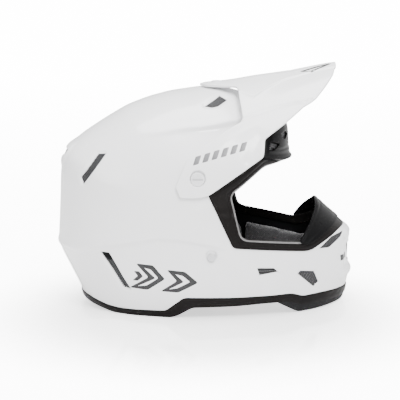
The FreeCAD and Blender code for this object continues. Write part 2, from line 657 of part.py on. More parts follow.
# --------------------------------------------------------------------------------------------
# Visor
# --------------------------------------------------------------------------------------------
# Side view (x, z).
VISOR_SIDE = [(-30.0, 300.0), (-30.0, 252.0), (30.0, 248.0), (43.0, 238.0), (44.0, 227.5),
              (27.0, 218.5), (-20.6, 184.1), (-32.2, 156.1), (-26.7, 144.5), (-14.9, 142.0),
              (3.2, 147.4), (66.2, 188.0), (67.9, 209.5), (92.4, 227.2), (104.0, 236.0),
              (113.5, 243.0), (127.4, 244.5), (137.5, 251.4), (146.6, 259.4), (153.2, 268.5),
              (153.8, 300.0)]
# Left half of the plan view (x, y), from the middle of the rear edge to that of the front.
VISOR_PLAN_LEFT = [(-5.0, 0.0), (2.0, 15.0), (38.0, 34.0), (41.0, 60.0), (-60.0, 70.0),
                   (-60.0, 160.0), (90.0, 160.0), (112.0, 88.0), (126.1, 80.5), (139.4, 63.0),
                   (150.0, 38.0), (152.8, 20.0), (153.4, 0.0)]
BOSS_Y = (118.0, 129.8)
BOSS_OFF_SHELL = 0.6
SHANK_FIT = 0.08

visor_outer = dims["visor_gap"] + dims["visor_wall"]
top_seat_z = visor_skin.top_at(top_x, visor_outer) - 1.0


def visor_peak():
    """One moulded peak whose arms carry a round boss over each pivot screw."""
    plan = VISOR_PLAN_LEFT + [(x, -y) for x, y in reversed(VISOR_PLAN_LEFT[1:-1])]
    visor = layer(visor_outer, dims["visor_gap"], visor_skin)
    visor = visor.common(prism(VISOR_SIDE)).common(plan_prism(plan))
    visor = visor.fuse([
        cylinder_y(pivot_x, *span(sign, *BOSS_Y), pivot_z, dims["boss_dia"] / 2).cut(
            inside(BOSS_OFF_SHELL)) for sign in (-1, 1)])
    head_radius = dims["screw_head_dia"] / 2 + 0.3
    visor = visor.cut([
        cylinder_y(pivot_x, -160, 160, pivot_z, dims["screw_shank_dia"] / 2 + SHANK_FIT),
        cylinder_y(pivot_x, pivot_seat, 170, pivot_z, head_radius),
        cylinder_y(pivot_x, -170, -pivot_seat, pivot_z, head_radius),
        Part.makeCylinder(dims["top_head_dia"] / 2 + 0.4, 40, Vector(top_x, 0, top_seat_z)),
        Part.makeCylinder(dims["top_shank_dia"] / 2 + SHANK_FIT, 60, Vector(top_x, 0, 240))])
    keep("visor_peak", visor)


# --------------------------------------------------------------------------------------------
# Body helpers
# --------------------------------------------------------------------------------------------
def outward(sign):
    """Turns local +Z away from the middle plane."""
    return Rotation(UP, Vector(0, sign, 0))


def new_body(label):
    body = doc.addObject("PartDesign::Body", label)
    body.Label = label
    return body


def on_plane(body, name, role="XY_Plane", lift=None):
    sketch = body.newObject("Sketcher::SketchObject", name)
    plane = next(f for f in body.Origin.OriginFeatures if f.Role == role)
    sketch.AttachmentSupport = (plane, [""])
    sketch.MapMode = "FlatFace"
    if lift:
        sketch.setExpression("AttachmentOffset.Base.z", lift)
    return sketch


def circle(sketch, radius):
    """A circle about the sketch's origin, its radius bound to the sheet."""
    i = sketch.addGeometry(Part.Circle(Vector(0, 0, 0), UP, 1.0), False)
    sketch.addConstraint(Sketcher.Constraint("Coincident", i, 3, -1, 1))
    constraint = sketch.addConstraint(Sketcher.Constraint("Radius", i, 1.0))
    sketch.setExpression("Constraints[%d]" % constraint, radius)


def line(sketch, start, end):
    sketch.addGeometry(Part.LineSegment(Vector(*start, 0), Vector(*end, 0)), False)


def closed_lines(sketch, points):
    for start, end in zip(points, points[1:] + points[:1]):
        line(sketch, start, end)


def arc(sketch, x, y, radius, start, end):
    sketch.addGeometry(
        Part.ArcOfCircle(Part.Circle(Vector(x, y, 0), UP, radius), start, end), False)


def pad(body, name, sketch, length, down=False, middle=False):
    feature = body.newObject("PartDesign::Pad", name)
    feature.Profile = sketch
    feature.setExpression("Length", length)
    feature.Reversed = down
    if middle:
        feature.Midplane = True
    doc.recompute()
    return feature


def pocket(body, name, sketch, length):
    before = body.Shape.Volume
    feature = body.newObject("PartDesign::Pocket", name)
    feature.Profile = sketch
    feature.setExpression("Length", length)
    doc.recompute()
    if body.Shape.Volume > before - 0.5:
        raise RuntimeError(name + " cuts nothing")


def disc(body, name, radius, length, down=False, lift=None, sketch_name=None):
    """A round pad about local Z; radius, length and lift are expressions."""
    sketch = on_plane(body, sketch_name or name + "_sketch", lift=lift)
    circle(sketch, radius)
    return pad(body, name, sketch, length, down=down)


def bore(body, name, radius, length, lift=None):
    sketch = on_plane(body, name + "_sketch", lift=lift)
    circle(sketch, radius)
    pocket(body, name, sketch, length)


def round_top_edge(body, name, feature, z, radius):
    """Rounds the longest edge lying at height z."""
    doc.recompute()
    edges = feature.Shape.Edges
    level = [i for i, e in enumerate(edges)
             if abs(e.BoundBox.ZMax - z) < 1e-4 and abs(e.BoundBox.ZMin - z) < 1e-4]
    longest = max(level, key=lambda i: edges[i].Length)
    fillet = body.newObject("PartDesign::Fillet", name)
    fillet.Base = (feature, ["Edge%d" % (longest + 1)])
    fillet.setExpression("Radius", radius)
    doc.recompute()


def place(body, position, rotation=None):
    """Puts a body where it belongs, as a piece of its own."""
    doc.recompute()
    body.Placement = Placement(Vector(*position), rotation or Rotation())
    nodes.append(body)


def several(label, body, placements):
    """One piece repeated: a node holding a copy of the body's shape at each placement."""
    doc.recompute()
    node = doc.addObject("Part::Feature", label)
    node.Label = label
    copies = []
    for placement in placements:
        copy = body.Shape.copy()
        copy.Placement = placement.multiply(copy.Placement)
        copies.append(copy)
    node.Shape = Part.makeCompound(copies)
    node.Placement = Placement()
    nodes.append(node)


def each_side(x, y, z):
    """Placements at y on the left and at -y on the right, local +Z outwards."""
    return [Placement(Vector(x, sign * y, z), outward(sign)) for _, sign in SIDES]


# --------------------------------------------------------------------------------------------
# Visor screws and nuts
# --------------------------------------------------------------------------------------------
def visor_screw(label, kind):
    """A wide flat-headed screw with a coin slot; its head's underside is on the local XY plane.
    The kind is the prefix of its dimensions."""
    body = new_body(label)
    head_len = kind + "_head_len"
    head = disc(body, label + "_head", "Dims.%s_head_dia / 2" % kind, "Dims." + head_len)
    round_top_edge(body, label + "_round", head, dims[head_len], "Dims.screw_edge_round")
    sketch = on_plane(body, label + "_slot_sketch", lift="Dims." + head_len)
    # the slot's length keeps its share of the head
    half_long = (dims["screw_slot_long"] / 2 * dims[kind + "_head_dia"]
                 / dims["screw_head_dia"])
    half_wide = dims["screw_slot_wide"] / 2
    closed_lines(sketch, [(-half_long, -half_wide), (half_long, -half_wide),
                          (half_long, half_wide), (-half_long, half_wide)])
    pocket(body, label + "_slot", sketch, "Dims.screw_slot_deep")
    disc(body, label + "_shank", "Dims.%s_shank_dia / 2" % kind,
         "Dims.%s_shank_len" % kind, down=True)
    return body


def visor_screws():
    for side, sign in SIDES:
        place(visor_screw("visor_screw_" + side, "screw"),
              (pivot_x, sign * pivot_seat, pivot_z), outward(sign))
    place(visor_screw("visor_screw_top", "top"), (top_x, 0, top_seat_z))


def visor_side_nuts():
    """Flanged, pressed in from inside; the flange's outer face is the local XY plane."""
    nut = new_body("side_nut")
    disc(nut, "side_nut_flange", "Dims.nut_flange_dia / 2", "Dims.nut_flange_len", down=True)
    disc(nut, "side_nut_barrel", "Dims.nut_barrel_dia / 2", "Dims.nut_barrel_len")
    bore(nut, "side_nut_bore", "Dims.nut_bore_dia / 2",
         "Dims.nut_barrel_len + Dims.nut_flange_len + 1", lift="Dims.nut_barrel_len")
    several("visor_side_nuts", nut, each_side(pivot_x, dims["nut_face_y"], pivot_z))


def visor_top_nut():
    """Round nut under the crown; it travels with the visor along the shell's slot."""
    nut = new_body("visor_top_nut")
    disc(nut, "top_nut_disc", "Dims.top_nut_dia / 2", "Dims.top_nut_len", down=True,
         sketch_name="top_nut_sketch")
    bore(nut, "top_nut_bore", "Dims.top_bore_dia / 2", "Dims.top_nut_len + 1")
    place(nut, (top_x, 0, dims["top_nut_z"]))


# --------------------------------------------------------------------------------------------
# Chin strap
# --------------------------------------------------------------------------------------------
ANCHOR_ABOVE = 6            # plate above the rivet's axis
ANCHOR_CORNER = 3.0
ANCHOR_SLOT_HALF = 6        # half length of the strap slot
ANCHOR_SLOT = (8.2, 11.0)   # the slot's edges, below the rivet's axis
KEEPER_Y = -72
KEEPER_CAP_Z = 12.5         # top of the cap, under the lower layer of strap
KEEPER_CORE_Z = 14.7        # bottom of the stud, on top of that layer

# Closed webbing outlines (distance from the middle plane, z).
LEFT_STRAP = [(117.2, 65.7), (109.6, 41.6), (106.0, 35.8), (106.7, 35.8), (108.7, 33.8),
              (108.7, 30.6), (106.7, 28.6), (99.3, 28.6), (97.3, 30.6), (97.3, 33.8),
              (99.3, 35.8), (103.4, 35.8), (107.6, 42.3), (115.3, 66.3)]
# Hole in the left strap where it loops round the bars of both rings.
LEFT_LOOP = [(99.7, 30.2), (106.3, 30.2), (107.1, 31.0), (107.1, 33.4), (106.3, 34.2),
             (99.7, 34.2), (98.9, 33.4), (98.9, 31.0)]
RIGHT_STRAP = [(117.2, 65.7), (109.6, 41.6), (104.6, 31.0), (101.6, 22.0), (95.5, 17.0),
               (57.5, 17.0), (56.6, 16.3), (56.6, 15.3), (57.5, 14.6), (88.0, 14.6),
               (88.0, 12.6), (56.0, 12.6), (54.2, 14.4), (54.2, 17.4), (56.0, 19.0),
               (94.6, 19.0), (99.8, 23.0), (102.6, 31.6), (107.6, 42.3), (115.3, 66.3)]


def strap_rivets():
    """Head outside, shank through the shell, formed tail inside the strap's plate."""
    rivet = new_body("strap_rivet")
    head = disc(rivet, "rivet_head", "Dims.rivet_head_dia / 2", "Dims.rivet_head_len")
    round_top_edge(rivet, "rivet_round", head, dims["rivet_head_len"],
                   "Dims.rivet_head_len * 0.6")
    disc(rivet, "rivet_shank", "Dims.rivet_shank_dia / 2", "Dims.rivet_shank_len", down=True)
    disc(rivet, "rivet_tail", "Dims.rivet_tail_dia / 2", "Dims.rivet_tail_len", down=True,
         lift="-Dims.rivet_shank_len")
    several("strap_rivets", rivet, each_side(rivet_x, rivet_seat, rivet_z))


def strap_anchors():
    """Stamped plates hung on the rivets."""
    half = dims["anchor_wide"] / 2
    bottom = dims["anchor_tall"] - ANCHOR_ABOVE
    slot_near, slot_far = ANCHOR_SLOT
    for side, sign in SIDES:
        # local +Y points down on the left plate and up on the right one
        down = sign
        plate = new_body("strap_anchor_" + side)
        sketch = on_plane(plate, "anchor_sketch_" + side)
        closed_lines(sketch, [(-half, -ANCHOR_ABOVE * down), (half, -ANCHOR_ABOVE * down),
                              (half, bottom * down), (-half, bottom * down)])
        blank = pad(plate, "anchor_pad_" + side, sketch, "Dims.anchor_thick", down=True)
        corners = ["Edge%d" % (i + 1) for i, e in enumerate(blank.Shape.Edges)
                   if abs(e.BoundBox.ZLength - dims["anchor_thick"]) < 1e-6
                   and e.BoundBox.XLength < 1e-6]
        fillet = plate.newObject("PartDesign::Fillet", "anchor_corners_" + side)
        fillet.Base = (blank, corners)
        fillet.Radius = ANCHOR_CORNER
        doc.recompute()
        sketch = on_plane(plate, "anchor_hole_sketch_" + side)
        circle(sketch, "Dims.rivet_shank_dia / 2 + 0.05")
        closed_lines(sketch, [
            (-ANCHOR_SLOT_HALF, slot_near * down), (ANCHOR_SLOT_HALF, slot_near * down),
            (ANCHOR_SLOT_HALF, slot_far * down), (-ANCHOR_SLOT_HALF, slot_far * down)])
        pocket(plate, "anchor_holes_" + side, sketch, "Dims.anchor_thick + 1")
        place(plate, (rivet_x, sign * dims["anchor_face_y"], rivet_z), outward(sign))


def strap(label, outlines, sign):
    """Webbing drawn in the YZ plane and given its width along X."""
    body = new_body(label)
    sketch = on_plane(body, label + "_sketch", role="YZ_Plane")
    for outline in outlines:
        closed_lines(sketch, [(sign * y, z) for y, z in outline])
    pad(body, label + "_pad", sketch, "Dims.strap_wide", middle=True)
    place(body, (rivet_x, 0, 0))


def strap_keeper():
    """Press stud on the folded strap end: a cap below and the stud between the layers."""
    cap = new_body("strap_keeper_cap")
    disc(cap, "keeper_cap", "Dims.keeper_dia / 2", "Dims.keeper_cap_len", down=True)
    core = new_body("strap_keeper_core")
    disc(core, "keeper_core", "Dims.keeper_dia / 2 - 1", "Dims.keeper_core_len")
    cap.Placement = Placement(Vector(rivet_x, KEEPER_Y, KEEPER_CAP_Z), Rotation())
    core.Placement = Placement(Vector(rivet_x, KEEPER_Y, KEEPER_CORE_Z), Rotation())
    doc.recompute()
    pair = doc.addObject("Part::Compound", "strap_keeper")
    pair.Label = "strap_keeper"
    pair.Links = [cap, core]
    nodes.append(pair)


def d_ring(label, y):
    """Round wire bent to a D; the straight bar lies along local X through the origin."""
    ring = new_body(label)
    path = on_plane(ring, label + "_path")
    half, corner = dims["ring_bar_half"], dims["ring_corner"]
    line(path, (0, 0), (half, 0))
    arc(path, half, -corner, corner, 0, math.pi / 2)
    arc(path, 0, -corner, half + corner, math.pi, 2 * math.pi)
    arc(path, -half, -corner, corner, math.pi / 2, math.pi)
    line(path, (-half, 0), (0, 0))
    wire = on_plane(ring, label + "_wire", role="YZ_Plane")
    circle(wire, "Dims.ring_wire_dia / 2")
    doc.recompute()
    pipe = ring.newObject("PartDesign::AdditivePipe", label + "_pipe")
    pipe.Profile = wire
    pipe.Spine = path
    doc.recompute()
    place(ring, (rivet_x, y, dims["ring_bar_z"]), Rotation(Vector(1, 0, 0), 90))


# --------------------------------------------------------------------------------------------
# Snap studs and dampers
# --------------------------------------------------------------------------------------------
DAMPER_LIFT = 0.6       # foot's inner face beyond the outer liner's hollow


def cheek_snap_studs():
    """Studs on the cheek pad plates; the flange's outer face is the local XY plane."""
    stud = new_body("snap_stud")
    disc(stud, "stud_flange", "Dims.snap_flange_dia / 2", "Dims.snap_flange_len", down=True)
    disc(stud, "stud_nose", "Dims.snap_nose_dia / 2", "Dims.snap_nose_len")
    disc(stud, "stud_tail", "Dims.snap_tail_dia / 2", "Dims.snap_tail_len", down=True,
         lift="-Dims.snap_flange_len")
    for side, sign in SIDES:
        several("cheek_snap_studs_" + side, stud,
                [Placement(Vector(x, sign * y, z), outward(sign)) for x, y, z in snap_seats])


def isolation_dampers():
    """Rubber dampers that hang the inner liner; local +Z points away from the head."""
    damper = new_body("damper")
    disc(damper, "damper_foot", "Dims.damper_foot_dia / 2", "Dims.damper_foot_len")
    disc(damper, "damper_neck", "Dims.damper_neck_dia / 2", "Dims.damper_neck_len", down=True)
    placements = []
    for azimuth, elevation in DAMPERS:
        point, normal = on_ellipsoid(OUTER_HOLLOW, azimuth, elevation)
        placements.append(Placement(point + normal * DAMPER_LIFT, Rotation(UP, normal)))
    several("isolation_dampers", damper, placements)


# --------------------------------------------------------------------------------------------
# Build, check and export
# --------------------------------------------------------------------------------------------
outer_shell()
eyeport_trim()
nose_guard()
brow_vent()
base_trim()
chin_bar_bottom_pad()
vent_screens()
chin_vent_grille()
rear_exhaust_screen()
outer_liner()
inner_liner()
comfort_liner()
chin_bar_liner()
neck_roll()
cheek_pads()
cheek_snap_sockets()
visor_peak()
visor_screws()
visor_side_nuts()
visor_top_nut()
strap_rivets()
strap_anchors()
strap("strap_left", [LEFT_STRAP, LEFT_LOOP], 1)
strap("strap_right", [RIGHT_STRAP], -1)
strap_keeper()
d_ring("d_ring_outer", dims["ring_outer_y"])
d_ring("d_ring_inner", dims["ring_inner_y"])
cheek_snap_studs()
isolation_dampers()

doc.recompute()
problems = [o.Name for o in doc.Objects if "Invalid" in o.State or "Error" in o.State]
for node in nodes:
    if node.Shape.isNull() or not node.Shape.isValid() or not node.Shape.Solids:
        problems.append(node.Label + " shape")
if len({node.Label for node in nodes}) != len(nodes):
    problems.append("two nodes share a label")
if problems:
    raise RuntimeError("failed: " + ", ".join(problems))
for node in nodes:
    node.Shape.exportStep("parts/" + node.Label + ".step")
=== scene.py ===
"""Looks for the off-road helmet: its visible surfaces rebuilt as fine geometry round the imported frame.

Shapes are worked out in millimetres. X points forward, Z up, and the right side lies at -Y. Most
pieces are drawn on the right half and mirrored in the middle plane, Y = 0.
"""
import math
import bpy
import bmesh
import numpy as np
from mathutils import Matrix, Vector
from mathutils.bvhtree import BVHTree
from mathutils.geometry import delaunay_2d_cdt


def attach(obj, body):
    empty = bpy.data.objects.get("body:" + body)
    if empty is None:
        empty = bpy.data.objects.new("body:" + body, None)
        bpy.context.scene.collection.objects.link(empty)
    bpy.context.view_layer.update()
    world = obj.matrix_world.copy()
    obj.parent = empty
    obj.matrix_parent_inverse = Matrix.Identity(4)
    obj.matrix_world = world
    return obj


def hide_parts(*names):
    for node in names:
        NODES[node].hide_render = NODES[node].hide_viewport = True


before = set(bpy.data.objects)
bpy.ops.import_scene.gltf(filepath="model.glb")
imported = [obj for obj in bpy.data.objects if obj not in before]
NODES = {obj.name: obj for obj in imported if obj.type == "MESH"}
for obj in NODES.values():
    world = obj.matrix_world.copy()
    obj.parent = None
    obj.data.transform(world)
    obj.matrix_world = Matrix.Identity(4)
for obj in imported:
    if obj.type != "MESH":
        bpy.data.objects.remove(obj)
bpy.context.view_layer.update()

MM = 0.001
COLLECTION = bpy.context.scene.collection
MIRROR_Y = np.array([1, -1, 1])

# ============================================================================================
# Skins: the same family of closed surfaces the frame is cut from
# ============================================================================================
HALF_WIDTH = 128.0
CENTRE_X, CENTRE_Z = -15.0, 128.0
CENTRE = np.array([CENTRE_X, 0.0, CENTRE_Z])
ANGLE_STEPS = 720       # entries in a skin's tables by angle
CHART_SCALE = 128.0     # chart length of one radian

# Side-view outlines on the middle plane: x, z
SHELL_OUTLINE = [
    (-145.6, 7.4), (-145.5, 11.5), (-162.1, 43.5), (-173.6, 66.3), (-175.2, 74.3), (-174.0, 94.1),
    (-172.4, 131.2), (-171.9, 152.2), (-170.5, 169.3), (-167.0, 182.2), (-144.9, 200.6),
    (-119.0, 217.7), (-93.0, 233.3), (-67.1, 243.2), (-41.3, 250.1), (-5.2, 255.4), (15.6, 255.5),
    (39.4, 250.7), (60.9, 241.1), (76.6, 228.5), (86.4, 214.1), (90.5, 198.5), (93.0, 179.2),
    (106.0, 152.5), (128.4, 123.4), (152.0, 101.4), (167.4, 92.3), (174.6, 86.1), (175.8, 74.5),
    (175.4, 57.3), (174.4, 40.1), (169.4, 16.5), (166.0, 4.3),
    (150, -60), (70, -100), (-40, -100), (-115, -50), (-143, -5)]
VISOR_OUTLINE = SHELL_OUTLINE[:13] + [
    (-67.1, 243.4), (-41.3, 250.4), (-5.2, 255.6), (16.0, 257.4), (36.0, 260.4), (62.0, 264.9),
    (98.0, 270.2), (112.0, 273.2), (149.0, 281.2), (176.0, 285.0), (186.0, 276.0),
    (180.0, 252.0), (158.0, 220.0),
    (128.0, 190.0), (106.0, 158.0), (128.4, 123.4)] + SHELL_OUTLINE[25:]
# Roundness exponents round the outline: angle in degrees from +X towards +Z, exponent
SHELL_RADIAL = [(0, 1.4), (30, 2.0), (60, 2.2), (90, 2.3), (150, 2.3), (180, 2.3), (225, 2.3),
                (270, 2.5), (315, 1.75), (345, 1.35)]
SHELL_ACROSS = [(0, 1.95), (30, 2.0), (60, 2.1), (90, 2.1), (150, 2.1), (180, 2.1), (225, 2.1),
                (270, 2.2), (315, 1.95), (345, 2.05)]
VISOR_RADIAL = [(0, 1.65), (25, 1.9), (38, 2.1), (50, 2.25), (65, 2.35), (90, 2.3), (150, 2.3),
                (180, 2.3), (225, 2.3), (270, 2.5), (315, 1.95), (345, 1.55)]
VISOR_ACROSS = [(0, 1.65), (25, 1.8), (38, 1.75), (50, 1.8), (65, 1.95), (90, 2.1), (150, 2.1),
                (180, 2.1), (225, 2.1), (270, 2.2), (315, 1.75), (345, 1.55)]


def unit(vectors):
    return vectors / np.maximum(np.linalg.norm(vectors, axis=-1, keepdims=True), 1e-9)


def blur(values, sigma):
    """Gaussian blur of a closed table."""
    reach = int(3 * sigma)
    kernel = np.exp(-0.5 * (np.arange(-reach, reach + 1) / sigma) ** 2)
    kernel /= kernel.sum()
    return sum(kernel[j + reach] * np.roll(values, -j) for j in range(-reach, reach + 1))


def outline_radius(outline):
    """Distance from the centre to the outline, by angle."""
    radius = np.zeros(ANGLE_STEPS)
    angle = 2 * np.pi * np.arange(ANGLE_STEPS) / ANGLE_STEPS
    dx, dz = np.cos(angle), np.sin(angle)
    for (x0, z0), (x1, z1) in zip(outline, outline[1:] + outline[:1]):
        ex, ez = x1 - x0, z1 - z0
        det = -dx * ez + dz * ex
        hit = np.abs(det) > 1e-12
        det = np.where(hit, det, 1.0)
        qx, qz = x0 - CENTRE_X, z0 - CENTRE_Z
        reach, part = (-qx * ez + qz * ex) / det, (dx * qz - dz * qx) / det
        hit &= (reach > 0) & (part >= -1e-9) & (part <= 1 + 1e-9)
        radius = np.where(hit, np.maximum(radius, reach), radius)
    return radius


def by_angle(knots):
    """Knots (degrees, value) spread over the closed table."""
    knots = [(knots[-1][0] - 360, knots[-1][1])] + knots + [(knots[0][0] + 360, knots[0][1])]
    return np.interp(360.0 * np.arange(ANGLE_STEPS) / ANGLE_STEPS, *zip(*knots))


class Skin:
    """A closed surface round CENTRE; `raised` moves it out by that many millimetres."""

    def __init__(self, outline, radial, across):
        self.radius = blur(outline_radius(outline), 5)
        self.radial = blur(by_angle(radial), 14)
        self.across = blur(by_angle(across), 14)

    def tables(self, angle, raised):
        """Raised radius and both exponents at an angle."""
        place = (angle / (2 * np.pi) * ANGLE_STEPS) % ANGLE_STEPS
        i = np.floor(place).astype(int)
        part = place - i
        radius, radial, across = (
            table[i % ANGLE_STEPS] * (1 - part) + table[(i + 1) % ANGLE_STEPS] * part
            for table in (self.radius, self.radial, self.across))
        return radius + raised, radial, across

    def cast(self, directions, raised=0.0):
        """The points of the raised skin along directions from the centre."""
        dx, dy, dz = directions.T
        radius, radial, across = self.tables(np.arctan2(dz, dx), raised)
        flat = np.maximum(np.hypot(dx, dz), 1e-9) / radius
        side = np.maximum(np.abs(dy), 1e-9) / (HALF_WIDTH + raised)
        scale = 1 / np.sqrt(flat ** 2 + side ** 2)
        for _ in range(14):
            p, q = (scale * flat) ** radial, (scale * side) ** across
            scale = scale * np.exp(-np.log(p + q) / ((radial * p + across * q) / (p + q)))
        return CENTRE + directions * scale[:, None]

    def level(self, points, raised=0.0):
        """Below zero inside the raised skin, above zero outside."""
        dx, dy, dz = (points - CENTRE).T
        radius, radial, across = self.tables(np.arctan2(dz, dx), raised)
        side = np.abs(dy) / (HALF_WIDTH + raised)
        return (np.hypot(dx, dz) / radius) ** radial + side ** across - 1

    def normal(self, points):
        slope = np.stack([self.level(points + step) - self.level(points - step)
                          for step in 0.4 * np.eye(3)], 1)
        slope[np.abs(points[:, 1]) < 1e-6, 1] = 0.0
        return unit(slope)

    def half_width(self, x, z, raised=0.0):
        """Half width at a side-view place, zero outside the outline."""
        dx, dz = np.asarray(x, float) - CENTRE_X, np.asarray(z, float) - CENTRE_Z
        radius, radial, across = self.tables(np.arctan2(dz, dx), raised)
        share = np.minimum(np.hypot(dx, dz) / radius, 1)
        return (HALF_WIDTH + raised) * np.maximum(1 - share ** radial, 0) ** (1 / across)

    def side(self, xz, raised=0.0):
        """Side-view points on to the right half; points beyond the outline go to it."""
        xz = np.asarray(xz, float).reshape(-1, 2)
        width = self.half_width(xz[:, 0], xz[:, 1], raised)
        points = np.stack([xz[:, 0], -width, xz[:, 1]], 1)
        beyond = width <= 0
        if beyond.any():
            directions = points[beyond] - CENTRE
            directions[:, 1] = 0
            points[beyond] = self.cast(unit(directions), raised)
        return points


SHELL_SKIN = Skin(SHELL_OUTLINE, SHELL_RADIAL, SHELL_ACROSS)
VISOR_SKIN = Skin(VISOR_OUTLINE, VISOR_RADIAL, VISOR_ACROSS)


def chart(points):
    """Right-half points to the flat chart centred on -Y; the middle plane becomes a circle."""
    directions = unit(points - CENTRE)
    tilt = np.arccos(np.clip(-directions[:, 1], -1, 1))
    turn = np.arctan2(directions[:, 2], directions[:, 0])
    return np.stack([tilt * np.cos(turn), tilt * np.sin(turn)], 1) * CHART_SCALE


def unchart(flat):
    """Chart points to directions, and which of them lie on the middle plane."""
    tilt = np.hypot(flat[:, 0], flat[:, 1]) / CHART_SCALE
    on_middle = (tilt > np.pi / 2 - 8e-5) & (tilt < np.pi / 2 + 8e-5)
    tilt = np.where(on_middle, np.pi / 2, tilt)
    turn = np.arctan2(flat[:, 1], flat[:, 0])
    directions = np.stack([np.sin(tilt) * np.cos(turn), -np.cos(tilt),
                           np.sin(tilt) * np.sin(turn)], 1)
    directions[on_middle, 1] = 0.0
    return directions, on_middle


# ============================================================================================
# Flat outlines and distances
# ============================================================================================
def rounded(points, radii, closed=True, steps=5):
    """Corners replaced by short quadratic curves."""
    points = [np.array(p, float) for p in points]
    count = len(points)
    if not isinstance(radii, (list, tuple)):
        radii = [radii] * count
    out = []
    for i, corner in enumerate(points):
        if not closed and i in (0, count - 1):
            out.append(corner)
            continue
        before, after = points[i - 1], points[(i + 1) % count]
        to_before, to_after = np.linalg.norm(before - corner), np.linalg.norm(after - corner)
        cut = min(radii[i], to_before * 0.45, to_after * 0.45)
        if cut < 0.05:
            out.append(corner)
            continue
        start = corner + (before - corner) / to_before * cut
        end = corner + (after - corner) / to_after * cut
        for k in range(steps + 1):
            s = k / steps
            out.append((1 - s) ** 2 * start + 2 * s * (1 - s) * corner + s * s * end)
    return np.array(out)


def along(points, step=1.0, closed=False):
    """A polyline cut into steps."""
    points = [np.array(p, float) for p in points]
    if closed:
        points.append(points[0])
    parts = []
    for a, b in zip(points[:-1], points[1:]):
        count = max(2, int(np.linalg.norm(b - a) / step) + 1)
        parts.append(a + (b - a) * np.linspace(0, 1, count)[:-1][:, None])
    if not closed:
        parts.append(points[-1][None])
    return np.concatenate(parts)


def grow_outline(outline, distance):
    """A closed outline with every edge moved out by a distance, or in if negative."""
    P = np.array(outline, float)
    area = 0.5 * np.sum(P[:, 0] * np.roll(P[:, 1], -1) - np.roll(P[:, 0], -1) * P[:, 1])
    if area < 0:
        P = P[::-1]
    out = []
    for i in range(len(P)):
        e1, e2 = P[i] - P[i - 1], P[(i + 1) % len(P)] - P[i]
        n1 = np.array([e1[1], -e1[0]]) / np.hypot(*e1)
        n2 = np.array([e2[1], -e2[0]]) / np.hypot(*e2)
        both = n1 + n2
        out.append(P[i] + both * distance / max(0.35, 0.5 * both @ both))
    return np.array(out)


def is_inside(points, outline):
    """Which 2-D points lie inside a closed outline."""
    result = np.zeros(len(points), bool)
    in_box = (points >= outline.min(0)).all(1) & (points <= outline.max(0)).all(1)
    candidates = np.where(in_box)[0]
    crossed = np.zeros(len(candidates), bool)
    x, y = points[candidates, 0], points[candidates, 1]
    following = np.roll(outline, -1, 0)
    for k in range(0, len(outline), 256):
        a, b = outline[k:k + 256], following[k:k + 256]
        spans = (a[:, 1][None] > y[:, None]) != (b[:, 1][None] > y[:, None])
        rise = np.where(b[:, 1] == a[:, 1], 1e-12, b[:, 1] - a[:, 1])
        hit_x = a[:, 0] + (y[:, None] - a[:, 1]) / rise * (b[:, 0] - a[:, 0])
        crossed ^= (np.sum(spans & (x[:, None] < hit_x), 1) % 2).astype(bool)
    result[candidates] = crossed
    return result


def in_domain(points, loops):
    """Inside the first loop and outside the rest."""
    inside = is_inside(points, loops[0])
    for hole_loop in loops[1:]:
        inside &= ~is_inside(points, hole_loop)
    return inside


def nearest(points, others):
    """Distance from each 2-D point to the nearest of some others."""
    best = np.full(len(points), 1e9)
    for k in range(0, len(others), 200):
        S = others[k:k + 200]
        gaps = np.hypot(points[:, 0:1] - S[None, :, 0], points[:, 1:2] - S[None, :, 1])
        best = np.minimum(best, gaps.min(1))
    return best


def line_gap(x, z, line, closed=False):
    """Unsigned distance to a polyline and the sign of the side, left of its run positive."""
    points = [np.array(p, float) for p in line]
    if closed:
        points.append(points[0])
    best, side = np.full(np.shape(x), 1e9), np.zeros(np.shape(x))
    for a, b in zip(points[:-1], points[1:]):
        e = b - a
        s = np.clip(((x - a[0]) * e[0] + (z - a[1]) * e[1]) / max(e @ e, 1e-9), 0, 1)
        gap = np.hypot(x - a[0] - s * e[0], z - a[1] - s * e[1])
        turn = e[0] * (z - a[1]) - e[1] * (x - a[0])
        closer = gap < best
        best, side = np.where(closer, gap, best), np.where(closer, np.sign(turn), side)
    return best, side


def distance_to(x, z, line):
    return line_gap(x, z, line)[0]


def ease(x, low, high):
    """Smooth step from 0 at low to 1 at high."""
    s = np.clip((x - low) / (high - low), 0, 1)
    return s * s * (3 - 2 * s)


def fade(x, low, high):
    return 1 - ease(x, low, high)


def bell(x, width):
    return np.exp(-(x / width) ** 2)


def value_at(value, points):
    """A number, or a function of the points."""
    return value(points) if callable(value) else value


# ============================================================================================
# Lines on the chart
# ============================================================================================
def dense_chart(xz, skin, closed=True, step=1.2, raised=0.0):
    """A side-view outline drawn on the chart, refined until neighbouring points are close."""
    points = [tuple(p) for p in xz]
    if closed:
        points.append(points[0])
    out = []
    for a, b in zip(points[:-1], points[1:]):
        count = max(2, int(math.hypot(b[0] - a[0], b[1] - a[1]) / 1.0) + 1)
        t = np.linspace(0, 1, count)
        for _ in range(11):
            places = np.array(a) + (np.array(b) - np.array(a)) * t[:, None]
            flat = chart(skin.side(places, raised))
            wide = np.where(np.hypot(*(flat[1:] - flat[:-1]).T) > step)[0]
            if not len(wide):
                break
            t = np.sort(np.concatenate([t, (t[wide] + t[wide + 1]) / 2]))
        out.append(flat[:-1])
    if not closed:
        out.append(flat[-1:])
    return np.concatenate(out)


